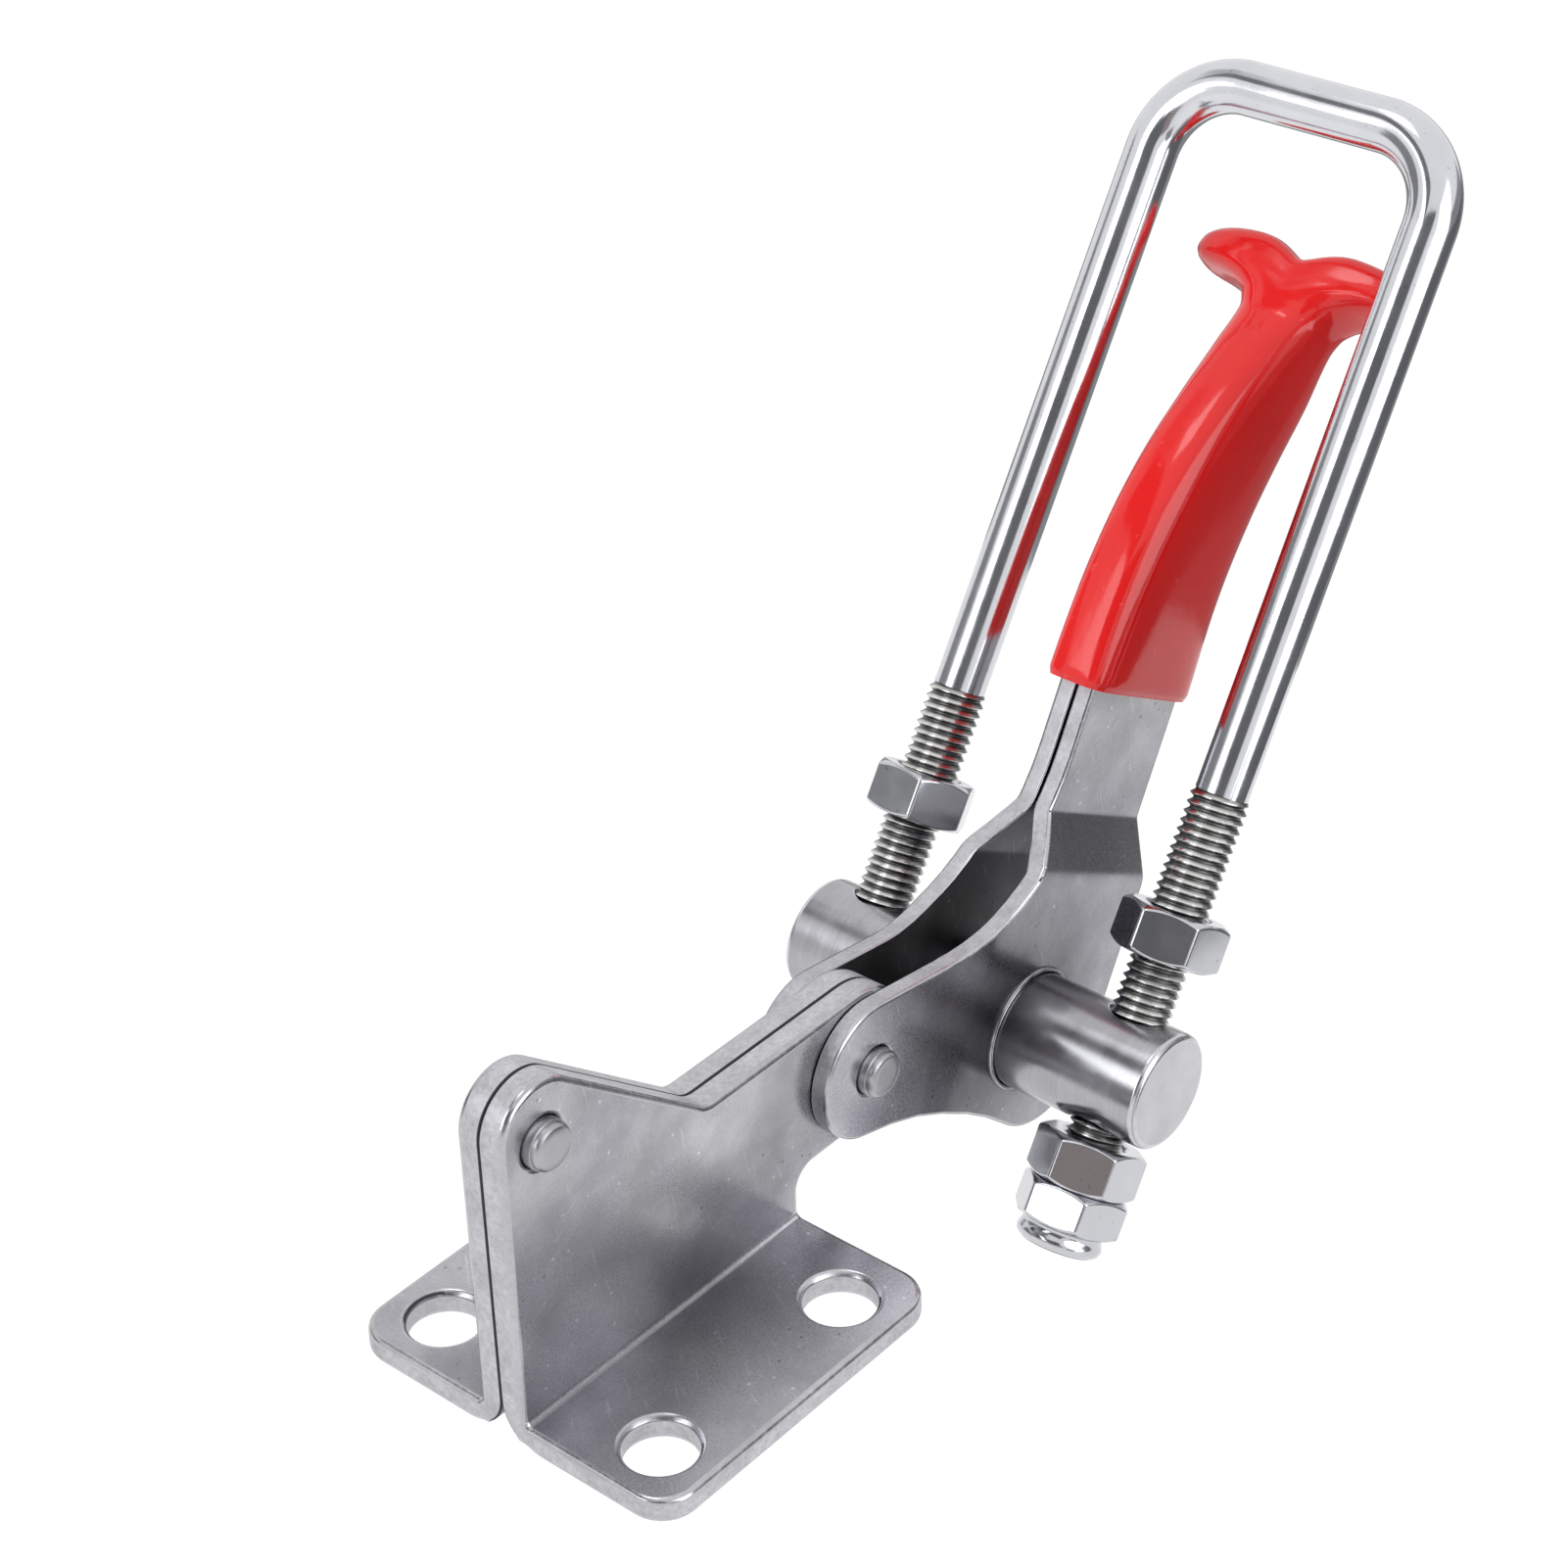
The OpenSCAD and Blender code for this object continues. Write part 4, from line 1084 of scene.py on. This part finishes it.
mesh.faces.new([*rungs[0], rim[around - 1 - half // 2], rim[around - half // 2]])
bmesh.ops.recalc_face_normals(mesh, faces=mesh.faces)
grip = finished_object(mesh, "dipped_grip", [red_vinyl])
even_shading(grip, 50)
hand_over(grip, ["grip"])

# %% [markdown]
# ## Floor and surround
#
# The clamp is shown on plain white. The white comes from the floor's own colour and
# from the surround as the camera and the reflections see it, so no extra light is
# spent on the object. The handle and the hook swing far below the brackets at their
# limits, so the floor lies well under the clamp, and the surround is matched to it
# so that no horizon shows.

# %% Surround
white_to_light, white_to_camera = 0.5, 0.956
world = bpy.data.worlds.new("white_surround")
bpy.context.scene.world = world
world.use_nodes = True
tree = world.node_tree
tree.nodes.clear()
rays = lay(tree, "ShaderNodeLightPath").outputs
mirrored = reckon("MAXIMUM", rays["Is Glossy Ray"], rays["Is Transmission Ray"])
strength = plus(fitted(mirrored, 0.0, 1.0, white_to_light, 1.0),
                times(rays["Is Camera Ray"], white_to_camera - white_to_light))
light = lay(tree, "ShaderNodeBackground", {"Color": (1, 1, 1, 1), "Strength": strength}).outputs[0]
lay(tree, "ShaderNodeOutputWorld", {"Surface": light})
print("surround:", world.name)

# %% Floor
paint, plain_glow = 0.93, 1.12
plain_to_camera, plain_to_mirrors = 0.75, 0.8
floor_finish, tree, shader = start_finish("white_floor")
tree.nodes.remove(shader)
matt = lay(tree, "ShaderNodeBsdfDiffuse", {"Color": (paint, paint, paint, 1)}).outputs[0]
plain = lay(tree, "ShaderNodeEmission", {"Color": (1, 1, 1, 1), "Strength": plain_glow}).outputs[0]
rays = lay(tree, "ShaderNodeLightPath").outputs
own_white = plus(times(rays["Is Camera Ray"], plain_to_camera),
                 times(rays["Is Glossy Ray"], plain_to_mirrors))
mixed = lay(tree, "ShaderNodeMixShader", {0: own_white, 1: matt, 2: plain}).outputs[0]
fill(tree.nodes["Material Output"], {"Surface": mixed})
lowest = min(corner[2] for corner in cad_box)
swing_room = 125 * mm
floor_z, floor_half = lowest - swing_room, 3


def sheet_object(name, corners, material, stand=Matrix.Identity(4)):
    data = bpy.data.meshes.new(name)
    data.from_pydata(corners, [], [(0, 1, 2, 3)])
    data.transform(stand)
    data.materials.append(material)
    flat = add_object(name, data)
    return flat


def oblong(x0, y0, x1, y1, z=0.0):
    return [(x0, y0, z), (x1, y0, z), (x1, y1, z), (x0, y1, z)]


sheet_object("floor", oblong(-floor_half, -floor_half, floor_half, floor_half, floor_z), floor_finish)
print("floor lies at", round(floor_z / mm, 2), "mm")

# %% [markdown]
# ## The room in the metal
#
# Polished metal shows only what stands round it, so the room matters more than the
# lamps. Following the bright and dark bands back from each surface gives the room: a
# tall bright box to the left, another to the front right, a small one overhead, a
# brown wall behind the camera, and dark gaps between them and past the edge of the
# white table. Each standing card covers the bearings from one azimuth and elevation to
# another, as seen from the clamp. The cards are seen only in reflections.

# %% Cards
middle = Vector((0.06, 0, 0.04))
cool_white, warm_brown = (0.96, 0.98, 1.0), (1.0, 0.85, 0.82)


def looking_back(azimuth, elevation, away):
    """A frame at that bearing from the clamp that looks back at its middle."""
    a, e = math.radians(azimuth), math.radians(elevation)
    out = Vector((math.cos(e) * math.cos(a), math.cos(e) * math.sin(a), math.sin(e)))
    return Matrix.Translation(middle + out * away) @ out.to_track_quat("Z", "Y").to_matrix().to_4x4()


def card(name, glow, corners, stand=Matrix.Identity(4), hue=cool_white):
    material, tree, shader = start_finish(name)
    tree.nodes.remove(shader)
    light = lay(tree, "ShaderNodeEmission", {"Color": (*hue, 1), "Strength": glow}).outputs[0]
    fill(tree.nodes["Material Output"], {"Surface": light})
    flat = sheet_object(name, corners, material, stand)
    flat.visible_camera = flat.visible_diffuse = flat.visible_shadow = flat.visible_transmission = False


def standing_card(name, glow, azimuths, elevations, away=0.9, hue=cool_white):
    azimuth, elevation = sum(azimuths) / 2, sum(elevations) / 2
    half_w = away * math.tan(math.radians(azimuths[1] - azimuths[0]) / 2 * math.cos(math.radians(elevation)))
    half_h = away * math.tan(math.radians(elevations[1] - elevations[0]) / 2)
    stand = looking_back(azimuth, elevation, away)
    card(name, glow, oblong(-half_w, -half_h, half_w, half_h), stand, hue)


standing_card("bright_box_left", 3.4, (145, 172), (20, 45), 1.0)
standing_card("bright_box_front_right", 3.0, (249, 289), (-16, 46), 1.0)
standing_card("bright_box_overhead", 4.5, (85, 135), (66, 82), 1.0)
standing_card("dark_behind_camera", 0.17, (175, 226), (19, 49))
standing_card("dark_beside_camera", 0.3, (235, 258), (-8, 8))
standing_card("bright_box_low", 3.4, (162, 181), (13, 29), 0.85)
standing_card("brown_wall_behind_camera", 0.34, (187, 228), (6, 21), 0.88, warm_brown)
standing_card("dark_ceiling", 0.22, (108, 178), (47, 62))
standing_card("dark_ceiling_right", 0.6, (80, 108), (47, 62))
standing_card("dark_left_wall", 0.3, (100, 143), (-5, 24))
standing_card("dark_right_wall", 0.32, (293, 345), (-14, 16))
table_front, table_right, room_right = -0.085, 0.2, 1.6
card("dark_past_table_front", 0.16, oblong(0.04, -1.2, room_right, table_front, lowest))
card("dark_past_table_right", 0.32, oblong(table_right, table_front, room_right, 0.5, lowest))

# %% [markdown]
# ## Lamps
#
# Two soft lamps give the vinyl and the satin sheet their light from above and from the
# left. They are kept out of reflections, where the cards already stand for them.


# %% Lamps
def soft_lamp(name, azimuth, elevation, away, width, height, power):
    data = bpy.data.lights.new(name, "AREA")
    data.shape, data.size, data.size_y, data.energy = "RECTANGLE", width, height, power
    lamp = add_object(name, data)
    lamp.matrix_world = looking_back(azimuth, elevation, away)
    lamp.visible_glossy = False
    print(name, "gives", power, "W")


soft_lamp("top_box", 190, 72, 1.2, 0.9, 0.9, 6.5)
soft_lamp("left_box", 160, 32, 1.0, 0.4, 0.5, 3.5)
bpy.context.scene.view_settings.view_transform = "Standard"
